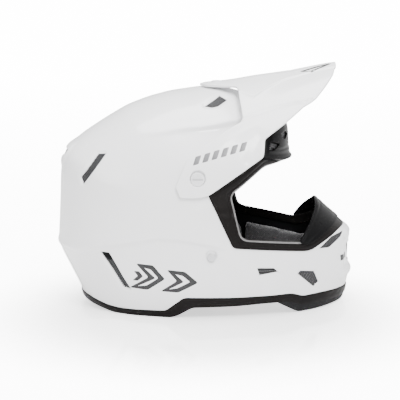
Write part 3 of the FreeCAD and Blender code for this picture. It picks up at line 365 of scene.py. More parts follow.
def resample(line, spacing, closed=True, corner=22.0):
    """Even spacing along a chart polyline; turns sharper than `corner` degrees are kept."""
    U = np.asarray(line, float)
    apart = np.hypot(*(np.roll(U, -1, 0) - U).T) > 1e-7
    U = U[apart] if closed else U[np.r_[apart[:-1], True]]
    count = len(U)
    if closed:
        v1, v2 = U - np.roll(U, 1, 0), np.roll(U, -1, 0) - U
    else:
        v1 = np.r_[[U[1] - U[0]], U[1:] - U[:-1]]
        v2 = np.r_[U[1:] - U[:-1], [U[-1] - U[-2]]]
    cross = v1[:, 0] * v2[:, 1] - v1[:, 1] * v2[:, 0]
    turn = np.degrees(np.abs(np.arctan2(cross, (v1 * v2).sum(1))))
    corners = [i for i in range(count) if turn[i] > corner]
    if closed:
        corners = corners or [0]
        spans = list(zip(corners, corners[1:] + corners[:1]))
    else:
        corners = sorted(set([0] + corners + [count - 1]))
        spans = list(zip(corners[:-1], corners[1:]))
    out = []
    for a, b in spans:
        S = U[np.arange(a, b + 1) if b > a else np.r_[np.arange(a, count), np.arange(0, b + 1)]]
        run = np.r_[0, np.cumsum(np.hypot(*(S[1:] - S[:-1]).T))]
        stops = np.linspace(0, run[-1], max(1, int(round(run[-1] / spacing))) + 1)[:-1]
        out.append(np.stack([np.interp(stops, run, S[:, 0]), np.interp(stops, run, S[:, 1])], 1))
    if not closed:
        out.append(U[-1:])
    return np.concatenate(out)


def cut_line(line, skin=SHELL_SKIN, step=1.0, raised=0.0):
    """An open side-view line clipped to the outline; its cut ends lie on the middle plane."""
    line = [np.array(p, float) for p in line]
    chain = []
    for a, b in zip(line[:-1], line[1:]):
        count = max(3, int(np.hypot(*(b - a)) / 2) + 1)
        S = a + (b - a) * np.linspace(0, 1, count)[:, None]
        beyond = skin.half_width(S[:, 0], S[:, 1], raised) <= 0
        if not beyond[0]:
            chain.append(tuple(S[0]))
        for i in range(count - 1):
            if beyond[i] != beyond[i + 1]:
                inner, outer = (S[i], S[i + 1]) if not beyond[i] else (S[i + 1], S[i])
                for _ in range(45):
                    middle = (inner + outer) / 2
                    if skin.half_width(middle[0], middle[1], raised) <= 0:
                        outer = middle
                    else:
                        inner = middle
                chain.append(tuple(outer))
    if not beyond[-1]:
        chain.append(tuple(b))
    return dense_chart(chain, skin, False, step, raised)


def shell_line(points, radii, steps=4, raised=0.0):
    """A rounded side-view line clipped to the shell."""
    return cut_line(rounded(points, radii, False, steps), raised=raised)


def find_skin(place, low, high, skin, raised):
    """Bisects how far out place(distance) meets the raised skin."""
    for _ in range(48):
        middle = (low + high) / 2
        outside = skin.level(place(middle), raised) > 0
        high, low = np.where(outside, middle, high), np.where(outside, low, middle)
    return place(low)


def end_line(yz, facing, step=1.0, closed=False):
    """A shell line drawn from the front (facing 1) or the back (-1), on the chart."""
    y, z = along(yz, step, closed).T
    low, high = np.zeros(len(y)), np.full(len(y), 320.0)
    return chart(find_skin(lambda reach: np.stack([CENTRE_X + facing * reach, -np.abs(y), z], 1),
                           low, high, SHELL_SKIN, 0.0))


def top_line(xy, step=1.0, raised=0.0, closed=False):
    """A visor line drawn from above, on the chart."""
    x, y = along(xy, step, closed).T
    low, high = np.full(len(x), 82.0), np.full(len(x), 260.0)
    return chart(find_skin(lambda reach: np.stack([x, -np.abs(y), CENTRE_Z + reach], 1),
                           low, high, VISOR_SKIN, raised))


def middle_arc(start, end, turn=0):
    """The middle plane between two chart points; turn 1 forces anticlockwise, -1 clockwise."""
    a0, a1 = math.atan2(start[1], start[0]), math.atan2(end[1], end[0])
    if turn > 0 and a1 < a0:
        a1 += 2 * math.pi
    if turn < 0 and a1 > a0:
        a1 -= 2 * math.pi
    count = max(2, int(abs(a1 - a0) * CHART_SCALE * math.pi / 2 / 1.2) + 1)
    angle = np.linspace(a0, a1, count)
    return np.stack([np.cos(angle), np.sin(angle)], 1) * CHART_SCALE * math.pi / 2


def joined(*parts, spacing):
    """Chart lines joined into one evenly spaced loop."""
    U = np.concatenate(parts)
    apart = np.hypot(*(np.roll(U, -1, 0) - U).T) > 1e-4
    return resample(U[apart], spacing)


def closed_half(edge, spacing, turn=0):
    """The loop between an edge and the middle plane."""
    return joined(edge, middle_arc(edge[-1], edge[0], turn), spacing=spacing)


def band_between(first, second, spacing):
    """The loop between two edges that both end on the middle plane."""
    return joined(first, middle_arc(first[-1], second[-1]), second[::-1],
                  middle_arc(second[0], first[0]), spacing=spacing)


def hole(outline, radius, spacing, skin=SHELL_SKIN, grow=0.0, raised=0.0):
    """A closed side-view outline with rounded corners, on the chart."""
    if grow:
        outline = grow_outline(outline, grow)
    flat = dense_chart(rounded(outline, radius, True, 4), skin, True, 0.6, raised)
    return resample(flat, spacing, True, 40)


def circle(centre, radius, corners, skin, step, spacing):
    points = [(centre[0] + radius * math.cos(q), centre[1] + radius * math.sin(q))
              for q in np.linspace(0, 2 * math.pi, corners + 1)[:-1]]
    return resample(dense_chart(points, skin, True, step), spacing, True, 60)


def on_skin(flat, raised, skin=SHELL_SKIN):
    """Chart points on the raised skin, with the skin's normals."""
    directions, on_middle = unchart(flat)
    base = skin.cast(directions)
    points = skin.cast(directions, value_at(raised, base))
    points[on_middle, 1] = 0.0
    return points, skin.normal(base)


# ============================================================================================
# Mesh making
# ============================================================================================
def triangulate(loops, spacing, fine=(), fine_spacing=0.8, reach=5.0, creases=()):
    """Triangles filling chart loops, the first the outer one and the rest holes.

    The grid is finer within `reach` of the points of the `fine` lines. Creases are open lines
    the triangle edges must follow."""
    points, edges = [], []
    for lines, closing in ((loops, 0), (creases, 1)):
        for line in lines:
            first, count = len(points), len(line)
            points += [tuple(p) for p in line]
            edges += [(first + i, first + (i + 1) % count) for i in range(count - closing)]
    border = np.array(points)
    low, high = border.min(0), border.max(0)
    fine_points = np.concatenate(fine) if len(fine) else np.zeros((0, 2))

    def grid(pitch, near_fine):
        xs, ys = np.arange(low[0], high[0], pitch), np.arange(low[1], high[1], pitch * 0.866)
        X, Y = np.meshgrid(xs, ys)
        X = X + (np.arange(len(ys)) % 2)[:, None] * pitch / 2
        P = np.stack([X.ravel(), Y.ravel()], 1)
        P = P[(nearest(P, fine_points) <= reach) == near_fine]
        P = P[in_domain(P, loops)]
        return P[nearest(P, border) > 0.55 * pitch]

    points += list(grid(spacing, False)) + list(grid(fine_spacing, True))
    vertices, _, faces, _, _, _ = delaunay_2d_cdt([Vector(p) for p in points], edges, [], 0, 1e-6)
    flat = np.array([(v[0], v[1]) for v in vertices])
    F = np.array([f for f in faces if len(f) == 3], int)
    F = F[in_domain(flat[F].mean(1), loops)]
    a, b, c = flat[F[:, 0]], flat[F[:, 1]], flat[F[:, 2]]
    area = ((b[:, 0] - a[:, 0]) * (c[:, 1] - a[:, 1])
            - (b[:, 1] - a[:, 1]) * (c[:, 0] - a[:, 0]))
    solid = np.abs(area) > 1e-9
    F, area = F[solid], area[solid]
    # the chart is (x, z) seen from -Y, so anticlockwise triangles face outwards
    F[area < 0] = F[area < 0][:, ::-1]
    used = np.unique(F)
    return flat[used], np.searchsorted(used, F)


def boundary_steps(triangles, count):
    """Each boundary vertex with the one that follows it."""
    e = np.concatenate([triangles[:, [0, 1]], triangles[:, [1, 2]], triangles[:, [2, 0]]])
    key = e[:, 0].astype(np.int64) * count + e[:, 1]
    reverse = e[:, 1].astype(np.int64) * count + e[:, 0]
    return {int(a): int(b) for a, b in e[~np.isin(key, reverse)]}


def solid_sheet(sheet, height, thick=None, lower=None, rim=0.8, inner_rim=0.3, rim_steps=4,
                mirror=True, skin=SHELL_SKIN):
    """A closed solid over chart triangles: an outer surface at `height`, rounded rims and an
    inner surface, either `thick` below the outer one or raised to `lower`."""
    flat, triangles = sheet
    directions, on_middle = unchart(flat)
    base = skin.cast(directions)
    outer = skin.cast(directions, height(base))
    outer[on_middle, 1] = 0.0
    normals = skin.normal(base)
    if lower is None:
        inner = outer - normals * thick
    else:
        inner = skin.cast(directions, value_at(lower, base))
    inner[on_middle, 1] = 0.0
    count = len(outer)

    following = boundary_steps(triangles, count)
    before = {b: a for a, b in following.items()}
    edge = np.array(list(following))
    tangent = np.zeros((len(edge), 3))
    for k, i in enumerate(edge):
        for start, end in ((i, following[i]), (before.get(i, i), i)):
            if not (on_middle[start] and on_middle[end]):
                tangent[k] += unit(outer[end] - outer[start])
    edge_middle = on_middle[edge]
    up = normals[edge]
    outward = np.cross(unit(tangent), up)
    outward[edge_middle, 1] = 0.0
    up[edge_middle, 1] = 0.0
    up = unit(up)
    outward = unit(outward - up * (outward * up).sum(1)[:, None])

    depth = np.linalg.norm(outer[edge] - inner[edge], axis=1)
    down = (outer[edge] - inner[edge]) / np.maximum(depth, 1e-9)[:, None]
    radius = np.minimum(rim, depth * 0.45)
    inner_radius = np.minimum(inner_rim, depth * 0.3)
    rings = []
    for k in range(1, rim_steps + 1):
        angle = math.pi / 2 * k / rim_steps
        rings.append(outer[edge] + outward * (radius * math.sin(angle))[:, None]
                     - down * (radius * (1 - math.cos(angle)))[:, None])
    rings.append(inner[edge] + outward * radius[:, None] + down * inner_radius[:, None])
    rings.append(inner[edge] + outward * np.maximum(radius - inner_radius, 0)[:, None])
    for ring in rings:
        ring[edge_middle, 1] = 0.0

    place = {int(i): k for k, i in enumerate(edge)}

    def column(i):
        """Vertex numbers down the rim from outer vertex i to its inner twin."""
        between = [2 * count + k * len(edge) + place[i] for k in range(len(rings))]
        return [i] + between + [count + i]

    faces = [tuple(f) for f in np.concatenate([triangles, triangles[:, ::-1] + count])]
    for i, j in following.items():
        if on_middle[i] and on_middle[j]:
            continue
        a, b = column(i), column(j)
        faces += [(b[k], a[k], a[k + 1], b[k + 1]) for k in range(len(a) - 1)]
    vertices = np.concatenate([outer, inner] + rings)
    return with_mirror(vertices, faces) if mirror else (vertices, faces)


def with_mirror(vertices, faces):
    """Both halves, joined at the middle plane."""
    count = len(vertices)
    on_plane = np.abs(vertices[:, 1]) < 1e-6
    vertices = vertices.copy()
    vertices[on_plane, 1] = 0.0
    off = np.where(~on_plane)[0]
    twin = np.arange(count)
    twin[off] = count + np.arange(len(off))
    others = [tuple(int(twin[i]) for i in reversed(f)) for f in faces]
    return np.concatenate([vertices, vertices[off] * MIRROR_Y]), list(faces) + others


def flip_y(vertices, faces):
    return vertices * MIRROR_Y, [tuple(reversed(f)) for f in faces]


def join_parts(parts):
    vertices, faces, first = [], [], 0
    for part_vertices, part_faces in parts:
        vertices.append(part_vertices)
        faces += [tuple(int(i) + first for i in f) for f in part_faces]
        first += len(part_vertices)
    return np.concatenate(vertices), faces


def round_profile(width, height, count=12, power=2.0):
    angle = np.linspace(0, 2 * np.pi, count, endpoint=False)
    c, s = np.cos(angle), np.sin(angle)
    return np.stack([np.sign(c) * np.abs(c) ** (2 / power) * width / 2,
                     np.sign(s) * np.abs(s) ** (2 / power) * height / 2], 1)


def sweep(path, normals, profile, closed=False):
    """An anticlockwise profile (across, up) carried along a path; up follows the normals."""
    if closed:
        tangent = np.roll(path, -1, 0) - np.roll(path, 1, 0)
    else:
        tangent = np.gradient(path, axis=0)
    tangent = unit(tangent)
    up = unit(normals - tangent * (normals * tangent).sum(1)[:, None])
    side = np.cross(tangent, up)
    vertices = (path[:, None, :] + side[:, None, :] * profile[None, :, 0:1]
                + up[:, None, :] * profile[None, :, 1:2]).reshape(-1, 3)
    n, m = len(path), len(profile)
    faces = []
    for i in range(n if closed else n - 1):
        j = (i + 1) % n
        for k in range(m):
            l = (k + 1) % m
            faces.append((i * m + k, i * m + l, j * m + l, j * m + k))
    if not closed:
        faces.append(tuple(range(m))[::-1])
        faces.append(tuple((n - 1) * m + k for k in range(m)))
    return vertices, [tuple(reversed(f)) for f in faces]


def mesh_object(name, surface, material, sharp=None):
    """A smooth object from millimetre vertices and faces; sharp is a crease angle in degrees."""
    vertices, faces = surface
    mesh = bpy.data.meshes.new(name)
    mesh.from_pydata((vertices * MM).tolist(), [], [tuple(int(i) for i in f) for f in faces])
    mesh.validate(clean_customdata=False)
    mesh.shade_smooth()
    if sharp:
        mesh.set_sharp_from_angle(angle=math.radians(sharp))
    mesh.materials.append(material)
    ob = bpy.data.objects.new(name, mesh)
    COLLECTION.objects.link(ob)
    return ob


def add(name, surface, material, sharp=40, body="shell", replaces=True):
    """An object that rides on a body and may replace the frame piece of the same name."""
    ob = mesh_object(name, surface, material, sharp)
    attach(ob, body)
    if replaces:
        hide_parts(name)
    return ob


def add_pair(name, right_half, material, sharp=40):
    add(name + "_right", right_half, material, sharp)
    add(name + "_left", flip_y(*right_half), material, sharp)


# ============================================================================================
# Materials
# ============================================================================================
class Shader:
    """A material with one Principled shader, and the nodes that feed it.

    Inputs are named with underscores for spaces; each takes a value or another socket."""

    def __init__(self, name):
        self.material = bpy.data.materials.new(name)
        self.material.use_nodes = True
        self.tree = self.material.node_tree
        for old in list(self.tree.nodes):
            self.tree.nodes.remove(old)
        output = self.node("OutputMaterial")
        self.principled = self.node("BsdfPrincipled")
        self.feed(output.inputs[0], self.principled.outputs[0])
        self.position = self.node("TexCoord").outputs["Object"]

    def feed(self, socket, value):
        if isinstance(value, bpy.types.NodeSocket):
            self.tree.links.new(value, socket)
        else:
            socket.default_value = value

    def set(self, node=None, **inputs):
        for name, value in inputs.items():
            self.feed((node or self.principled).inputs[name.replace("_", " ")], value)

    def node(self, kind, **inputs):
        node = self.tree.nodes.new("ShaderNode" + kind)
        self.set(node, **inputs)
        return node

    def noise(self, scale, detail=3.0, roughness=0.5, vector=None):
        return self.node("TexNoise", Scale=scale, Detail=detail, Roughness=roughness,
                         Vector=vector or self.position).outputs["Fac"]

    def math(self, operation, *values):
        node = self.node("Math")
        node.operation = operation
        for socket, value in zip(node.inputs, values):
            self.feed(socket, value)
        return node.outputs[0]

    def axes(self):
        return self.node("SeparateXYZ", Vector=self.position).outputs

    def tint(self, value, colour, low, high):
        """Base colour from a value; low and high are (position, brightness of the colour)."""
        node = self.node("ValToRGB")
        for element, (position, brightness) in zip(node.color_ramp.elements, (low, high)):
            element.position = position
            element.color = (*(c * brightness for c in colour), 1)
        self.set(node, Fac=value)
        self.set(Base_Color=node.outputs[0])

    def vary_roughness(self, roughness, spread, scale):
        self.set(Roughness=self.math("MULTIPLY_ADD", self.noise(scale, detail=4.0), spread,
                                     roughness - spread / 2))

    def bump(self, height, strength, distance):
        node = self.node("Bump", Strength=strength, Distance=distance, Height=height)
        self.set(Normal=node.outputs[0])


def paint(name, colour, roughness, coat):
    """Glossy paint with a faint ripple."""
    s = Shader(name)
    s.tint(s.noise(9.0, detail=2.0), colour, low=(0.3, 0.985), high=(0.7, 1.0))
    s.vary_roughness(roughness, spread=0.06, scale=60.0)
    s.set(Coat_Weight=coat, Coat_Roughness=0.06, Coat_IOR=1.5)
    s.bump(s.noise(420.0, detail=2.0), strength=0.035, distance=0.0004)
    return s.material


def moulded(name, colour, roughness, grain, strength, coat=0.0, specular=0.5, ior=1.45):
    """Moulded plastic or rubber with a fine grain."""
    s = Shader(name)
    s.set(IOR=ior)
    height = s.noise(grain, roughness=0.6)
    s.tint(s.noise(35.0), colour, low=(0.25, 0.8), high=(0.75, 1.15))
    s.vary_roughness(roughness, spread=0.14, scale=90.0)
    s.set(Coat_Weight=coat, Coat_Roughness=0.12, Specular_IOR_Level=specular)
    s.bump(height, strength, distance=0.00015)
    return s.material


def fabric(name, colour, pitch, sheen, second_rate, strength):
    """Brushed cloth: ribs on two diagonals with fuzz; second_rate is the other ribs' frequency."""
    s = Shader(name)
    x, y, z = s.axes()
    rate = 2 * math.pi / (pitch * MM)
    first = s.math("ADD", x, s.math("MULTIPLY", y, 0.8))
    second = s.math("ADD", z, s.math("MULTIPLY", y, 0.6))
    first = s.math("SINE", s.math("MULTIPLY", first, rate))
    second = s.math("SINE", s.math("MULTIPLY", second, rate * second_rate))
    height = s.math("ADD", s.math("MULTIPLY", first, second),
                    s.math("MULTIPLY", s.noise(1800.0, detail=4.0), 0.9))
    # colour follows the weave's height, lighter on the ribs and darker between them: the cloth's own
    # pattern with painted shade in its hollows
    s.tint(s.math("MULTIPLY_ADD", height, 0.22, 0.4), colour, low=(0.1, 0.45), high=(0.9, 1.7))
    s.set(Roughness=0.86, Sheen_Weight=sheen, Sheen_Roughness=0.5, Specular_IOR_Level=0.2)
    s.bump(height, strength, distance=0.0005)
    return s.material


def webbing(name, colour, pitch):
    """Twill weave from two crossing sets of ridges."""
    s = Shader(name)
    x, y, z = s.axes()
    rate = 2 * math.pi / (pitch * MM)
    run = s.math("ADD", z, y)
    twills = [s.math(operation, s.math("MULTIPLY", x, rate), s.math("MULTIPLY", run, rate * 0.7))
              for operation in ("ADD", "SUBTRACT")]
    height = s.math("MAXIMUM", *[s.math("SINE", twill) for twill in twills])
    height = s.math("ADD", height, s.math("MULTIPLY", s.noise(2500.0, detail=2.0), 0.5))
    # colour follows the twill's height, lighter on the ridges and darker between them: the weave's own
    # pattern with painted shade in its hollows
    s.tint(s.math("MULTIPLY_ADD", height, 0.3, 0.35), colour, low=(0.0, 0.5), high=(1.0, 1.5))
    s.set(Roughness=0.7, Sheen_Weight=0.2)
    s.bump(height, strength=0.7, distance=0.0004)
    return s.material


def bead_foam(name, colour):
    s = Shader(name)
    cells = s.node("TexVoronoi", Scale=330.0, Vector=s.position).outputs["Distance"]
    # bead tops lighter and the low seams between beads darker: the foam's bead pattern with painted
    # shade between the beads
    s.tint(cells, colour, low=(0.0, 1.25), high=(0.6, 0.7))
    s.set(Roughness=0.85, IOR=1.15, Specular_IOR_Level=0.3)
    s.bump(s.math("MULTIPLY", cells, -1.0), strength=0.5, distance=0.0008)
    return s.material


def brushed_metal(name, colour):
    s = Shader(name)
    s.set(Base_Color=(*colour, 1), Metallic=1.0)
    stretched = s.node("Mapping", Scale=(1.0, 9.0, 1.0), Vector=s.position).outputs[0]
    grain = s.noise(900.0, detail=5.0, roughness=0.7, vector=stretched)
    s.set(Roughness=s.math("MULTIPLY_ADD", grain, 0.22, 0.20))
    s.bump(grain, strength=0.12, distance=0.0001)
    return s.material


WHITE = paint("paint_white", (0.80, 0.80, 0.81), roughness=0.26, coat=0.55)
VISOR_WHITE = paint("visor_white", (0.79, 0.79, 0.80), roughness=0.30, coat=0.35)
SCREW_WHITE = moulded("screw_white", (0.70, 0.70, 0.71), roughness=0.34, grain=900.0, strength=0.08)
TRIM_BLACK = moulded("trim_black", (0.0058, 0.0050, 0.0048), roughness=0.38, grain=1400.0,
                     strength=0.2, ior=1.16)
# near-black for the shell's inside faces: painted shade for the dark inside of the helmet
INSIDE_PAINTED_SHADE = moulded("inside_painted_shade", (0.008, 0.008, 0.0085), roughness=0.6, grain=500.0,
                         strength=0.25, specular=0.4, ior=1.12)
GUARD_BLACK = moulded("guard_black", (0.0050, 0.0050, 0.0052), roughness=0.3, grain=500.0,
                      strength=0.03, ior=1.1)
# lighter grey for the eyeport bead: a painted highlight along the eyeport's inner edge
PAINTED_HIGHLIGHT_GREY = moulded("painted_highlight_grey", (0.11, 0.107, 0.107), roughness=0.22, grain=900.0, strength=0.05,
                    coat=0.4)
PLASTIC = moulded("plastic_black", (0.012, 0.012, 0.0125), roughness=0.5, grain=1500.0,
                  strength=0.25, specular=0.3)
SCREEN_GREY = moulded("screen_grey", (0.038, 0.038, 0.040), roughness=0.45, grain=1800.0,
                      strength=0.2, specular=0.2)
RUBBER = moulded("rubber_black", (0.0085, 0.0085, 0.009), roughness=0.5, grain=2200.0,
                 strength=0.35, ior=1.2)
DAMPER = moulded("damper_grey", (0.12, 0.12, 0.13), roughness=0.5, grain=2200.0, strength=0.35,
                 specular=0.35)
FOAM = bead_foam("bead_foam", (0.009, 0.009, 0.0095))
KNIT = fabric("knit_black", (0.011, 0.011, 0.0115), pitch=1.3, sheen=0.12, second_rate=0.55,
              strength=0.6)
SPACER = fabric("spacer_black", (0.030, 0.030, 0.032), pitch=2.4, sheen=0.5, second_rate=1.0,
                strength=0.9)
WEBBING = webbing("webbing_black", (0.022, 0.022, 0.024), pitch=1.6)
RED_TAPE = webbing("tape_red", (0.45, 0.015, 0.02), pitch=1.1)
STEEL = brushed_metal("steel", (0.62, 0.62, 0.63))
THREAD = webbing("thread_grey", (0.09, 0.09, 0.095), pitch=0.5)
DECAL_DARK = moulded("decal_dark", (0.014, 0.014, 0.015), roughness=0.38, grain=900.0,
                     strength=0.05, coat=0.2, specular=0.3)
DECAL_GREY = moulded("decal_grey", (0.13, 0.13, 0.135), roughness=0.4, grain=900.0, strength=0.04,
                     coat=0.2)

# ============================================================================================
# Outlines shared between the pieces: x, z in the side view
# ============================================================================================
EYE_OUT = [(230, 103), (157, 91.6), (122, 73), (32.7, 84.2), (4.3, 145.8), (67.7, 184.4), (80, 189),
           (230, 193)]
EYE_IN = [(230, 112), (152, 99.5), (124, 84), (112, 82.4), (42, 91.5), (29, 144.5), (60.9, 167.7),
          (70, 173.5), (230, 174.5)]
SHELL_EDGE = [(-230, 15.8), (-137, 13.5), (-112, 7.5), (-100, 6.5), (-45.5, 7.5), (-24.2, 24.4),
              (40.4, 23.3), (63.6, 23.5), (101, 23.4), (114.5, 18.2), (135, 19), (230, 17.5)]
RIDGE = [(-120, 199), (-71.3, 209.6), (-30.1, 218.2), (44.9, 227.2), (96, 232)]
FLANK = [(-190, 68), (-176, 73), (-55, 97.5), (-28.6, 96.3), (36, 83.8)]
RIVET = (7.6, 74.0)
# how far the shell's hole is grown beyond the outline, and the outline
VENTS = {
    "crown_vent": (1.0, [(-0.4, 241.3), (17.5, 250), (25.2, 246.4), (15.6, 241.6), (8.4, 240.5)]),
    "rear_upper_vent": (1.3, [(-124.5, 186.4), (-116.5, 187.6), (-142, 152.6), (-144.3, 159.4)]),
    "rear_lower_vent": (1.9, [(-120.1, 72.1), (-113.9, 71.8), (-88, 32.8), (-94.1, 33.9)]),
    "cheek_vent": (1.2, [(161.8, 87.4), (161.6, 81.2), (147.5, 72), (135.3, 72.3), (150.3, 83.4)]),
    "jaw_vent": (1.3, [(112.4, 48.4), (128.7, 45.6), (134.1, 32.1), (129, 27.5), (109.9, 45.7)]),
}
JAW_SLOT = [(61.6, 56.9), (80.1, 55.3), (84.9, 50.7), (64.2, 48.6)]

eye_out = shell_line(EYE_OUT, [0, 5, 7, 4, 3, 5, 6, 0], steps=6, raised=0.5)
eye_in = shell_line(EYE_IN, [0, 6, 6, 8, 9, 7, 7, 7, 0], steps=6, raised=1.5)
shell_edge = shell_line(SHELL_EDGE, 4)


# ============================================================================================
# The shell
# ============================================================================================
def shell_height(points):
    x, y, z = points.T
    side_y = np.abs(y)
    # a step down below the crown ridge, and the ridge itself
    gap, side = line_gap(x, z, RIDGE)
    below = np.where(side < 0, gap, 0)
    height = -3.4 * ease(x, -85, 20) * ease(below, 0.2, 4.5) * fade(below, 7, 44)
    height += 0.9 * ease(x, -95, 0) * fade(gap, 0, 7)
    # the same along the flank
    gap, side = line_gap(x, z, FLANK)
    below = np.where(side < 0, gap, 0)
    height -= (1.9 * ease(below, 0, 7) * fade(below, 10, 50) * ease(x, -180, -110)
               * fade(x, 8, 34))
    height += 0.7 * fade(gap, 0, 9) * ease(x, -180, -110) * fade(x, 8, 34)
    # chin: a shallow centre recess between two lips
    front = ease(x, 118, 150)
    height -= 2.6 * front * ease(z, 39, 46) * fade(z, 72, 80) * fade(side_y, 29, 37)
    height += 3.6 * front * fade(np.abs(z - 87), 0.5, 8) * fade(side_y, 26, 56)
    height += 2.4 * front * fade(np.abs(z - 37), 1, 8) * fade(side_y, 30, 58)
    # a raised lip round the rear exhaust
    outside = np.maximum(np.abs(z - 177.5) - 6.5, 0) + np.maximum(side_y - 27, 0)
    height += 1.6 * fade(x, -150, -120) * fade(outside, 1.5, 11)
    # a crease across the back
    return height + 1.8 * bell(z - 73.5, 4.5) * fade(x, -168, -120)


def vented_height(points):
    """The shell's height with dishes round the vents and a groove round the rivet."""
    height = shell_height(points)
    x, z = points[:, 0], points[:, 2]
    dishes = [(outline, 1.3, 4.0) for _, outline in VENTS.values()] + [(JAW_SLOT, 1.0, 3.0)]
    for outline, depth, width in dishes:
        gap, _ = line_gap(x, z, outline, closed=True)
        inside = is_inside(np.stack([x, z], 1), np.array(outline, float))
        height -= depth * fade(np.where(inside, -gap, gap), 0.3, width)
    radius = np.hypot(x - RIVET[0], z - RIVET[1])
    return height - 1.2 * bell(radius - 5.6, 0.5) - 0.25 * fade(radius, 4.6, 5.4)


def shell_lower(points):
    return np.minimum(-3.4 + 0.9 * ease(points[:, 0], 120, 150), vented_height(points) - 0.8)


def build_shell():
    # openings on the middle plane: y, z
    exhaust = end_line(rounded([(0, 184), (-30, 184), (-24, 171), (0, 171)], 2.5, False, 4), -1)
    chin_hole = end_line(rounded([(0, 47), (-18, 47), (-25, 70), (0, 70)], 3, False, 4), 1)
    outer = joined(shell_edge, middle_arc(shell_edge[-1], chin_hole[0]), chin_hole,
                   middle_arc(chin_hole[-1], eye_out[0]), eye_out,
                   middle_arc(eye_out[-1], exhaust[0], turn=1), exhaust,
                   middle_arc(exhaust[-1], shell_edge[0], turn=1), spacing=1.5)
    holes = [hole(outline, 1.0, 0.9, grow=grow) for grow, outline in VENTS.values()]
    holes.append(hole(JAW_SLOT, 1.2, 0.9, grow=1.3))
    rings = [circle(RIVET, radius, corners=29, skin=SHELL_SKIN, step=0.8, spacing=0.7)
             for radius in (5.2, 5.6, 6.0)]
    fine = [eye_out[::3], cut_line(RIDGE)[::2], cut_line(FLANK)[::3], exhaust[::2],
            chin_hole[::2]] + holes + rings[:1]
    sheet = triangulate([outer] + holes, 2.4, fine, fine_spacing=1.25, reach=6.5,
                        creases=[np.r_[ring, ring[:1]] for ring in rings])
    ob = add("outer_shell", solid_sheet(sheet, vented_height, lower=shell_lower, rim=0.9),
             WHITE, sharp=50)
    # faces turned towards the centre get a near-black colour, painted shade for the dark inside of the
    # shell
    ob.data.materials.append(INSIDE_PAINTED_SHADE)
    for face in ob.data.polygons:
        out = np.array(face.center) / MM - CENTRE
        if np.dot(np.array(face.normal), out) < -0.3 * np.linalg.norm(out):
            face.material_index = 1


# ============================================================================================
# Eyeport trim, with a bead round its inner edge; the bead's lighter grey is a painted highlight along
# that edge
# ============================================================================================
def eye_height(points):
    x, z = points[:, 0], points[:, 2]
    inner, outer = distance_to(x, z, EYE_IN), distance_to(x, z, EYE_OUT)
    share = inner / np.maximum(inner + outer, 1e-6)
    height = 0.2 + 1.3 * ease(share, 0.02, 0.5)
    # a groove near each edge
    return height - 0.9 * bell(inner - 3.6, 0.7) - 0.5 * bell(outer - 2.2, 0.55)


def build_eyeport():
    sheet = triangulate([band_between(eye_out, eye_in, 1.1)], 1.5, [eye_in[::2], eye_out[::2]],
                        fine_spacing=0.9)
    add("eyeport_trim", solid_sheet(sheet, eye_height, lower=-6.0, inner_rim=0.4), TRIM_BLACK,
        sharp=50)
    halves = on_skin(resample(eye_in, 1.6, False), lambda points: eye_height(points) - 0.1)
    path, normals = (np.concatenate([half, (half * MIRROR_Y)[::-1][1:-1]]) for half in halves)
    # the bead's lighter grey is a painted highlight along the eyeport's inner edge
    add("eyeport_bead", sweep(path, normals, round_profile(2.2, 2.0), True), PAINTED_HIGHLIGHT_GREY,
        sharp=None, replaces=False)


# ============================================================================================
# Nose guard and brow vent housing
# ============================================================================================
NOSE_EDGE = [(230, 103.5), (190, 103.5), (152.5, 99), (120.5, 80.5), (111.5, 84), (133, 115.5),
             (134.5, 126), (230, 126)]
NOSE_CREASE = [(118, 84), (137, 98), (152, 104), (190, 106.5)]
BROW_EDGE = [(230, 172.5), (130, 172.5), (96, 174.5), (80.5, 180), (72, 182.2), (66.8, 184),
             (68.5, 205), (78, 215), (91, 220), (230, 221)]
BROW_CREASE = [(66, 190), (82, 184.5), (96, 182), (130, 181)]
BROW_WINDOWS = [[(76.1, 200.8), (86.2, 196), (86, 192.6), (79.2, 188.6), (74.6, 191.6)],
                [(87.6, 205.4), (93.4, 206.2), (96.4, 200.6), (93.4, 196.6), (89.4, 199)]]


def nose_height(points):
    x, y, z = points.T
    height = 4.2 - 0.8 * bell(distance_to(x, z, NOSE_CREASE), 0.9)
    height -= 0.8 * fade(distance_to(x, z, NOSE_EDGE), 0.0, 2.4)
    # the top band faces up and forward
    return height - 2.2 * ease(z, 118.5, 127) * ease(x, 120, 128) + 0.5 * bell(z - 117.5, 1.4)


def brow_height(points):
    x, y, z = points.T
    height = 8.4 + 3.4 * ease(z, 180, 214) * ease(x, 70, 98)
    height -= 1.6 * fade(distance_to(x, z, BROW_EDGE), 0.0, 6.0)
    # brow line above the eyeport, and a low centre ridge
    height -= 0.7 * bell(distance_to(x, z, BROW_CREASE), 1.4)
    return height + 0.8 * fade(np.abs(y), 0, 14) * ease(z, 184, 200)


def build_guards():
    edge = shell_line(NOSE_EDGE, [0, 4, 8, 5, 3, 6, 3, 0], steps=5, raised=3.6)
    sheet = triangulate([closed_half(edge, 0.9)], 1.0)
    add("nose_guard", solid_sheet(sheet, nose_height, lower=1.2, rim=0.7), GUARD_BLACK,
        sharp=45)

    edge = shell_line(BROW_EDGE, [0, 0, 6, 4, 4, 3, 6, 8, 6, 0], steps=5, raised=6.5)
    windows = [hole(window, 1.0, 0.8, raised=7.5) for window in BROW_WINDOWS]
    sheet = triangulate([closed_half(edge, 1.2, turn=-1)] + windows, 1.2, windows)
    add("brow_vent_housing", solid_sheet(sheet, brow_height, lower=1.2, rim=0.7), GUARD_BLACK,
        sharp=45)


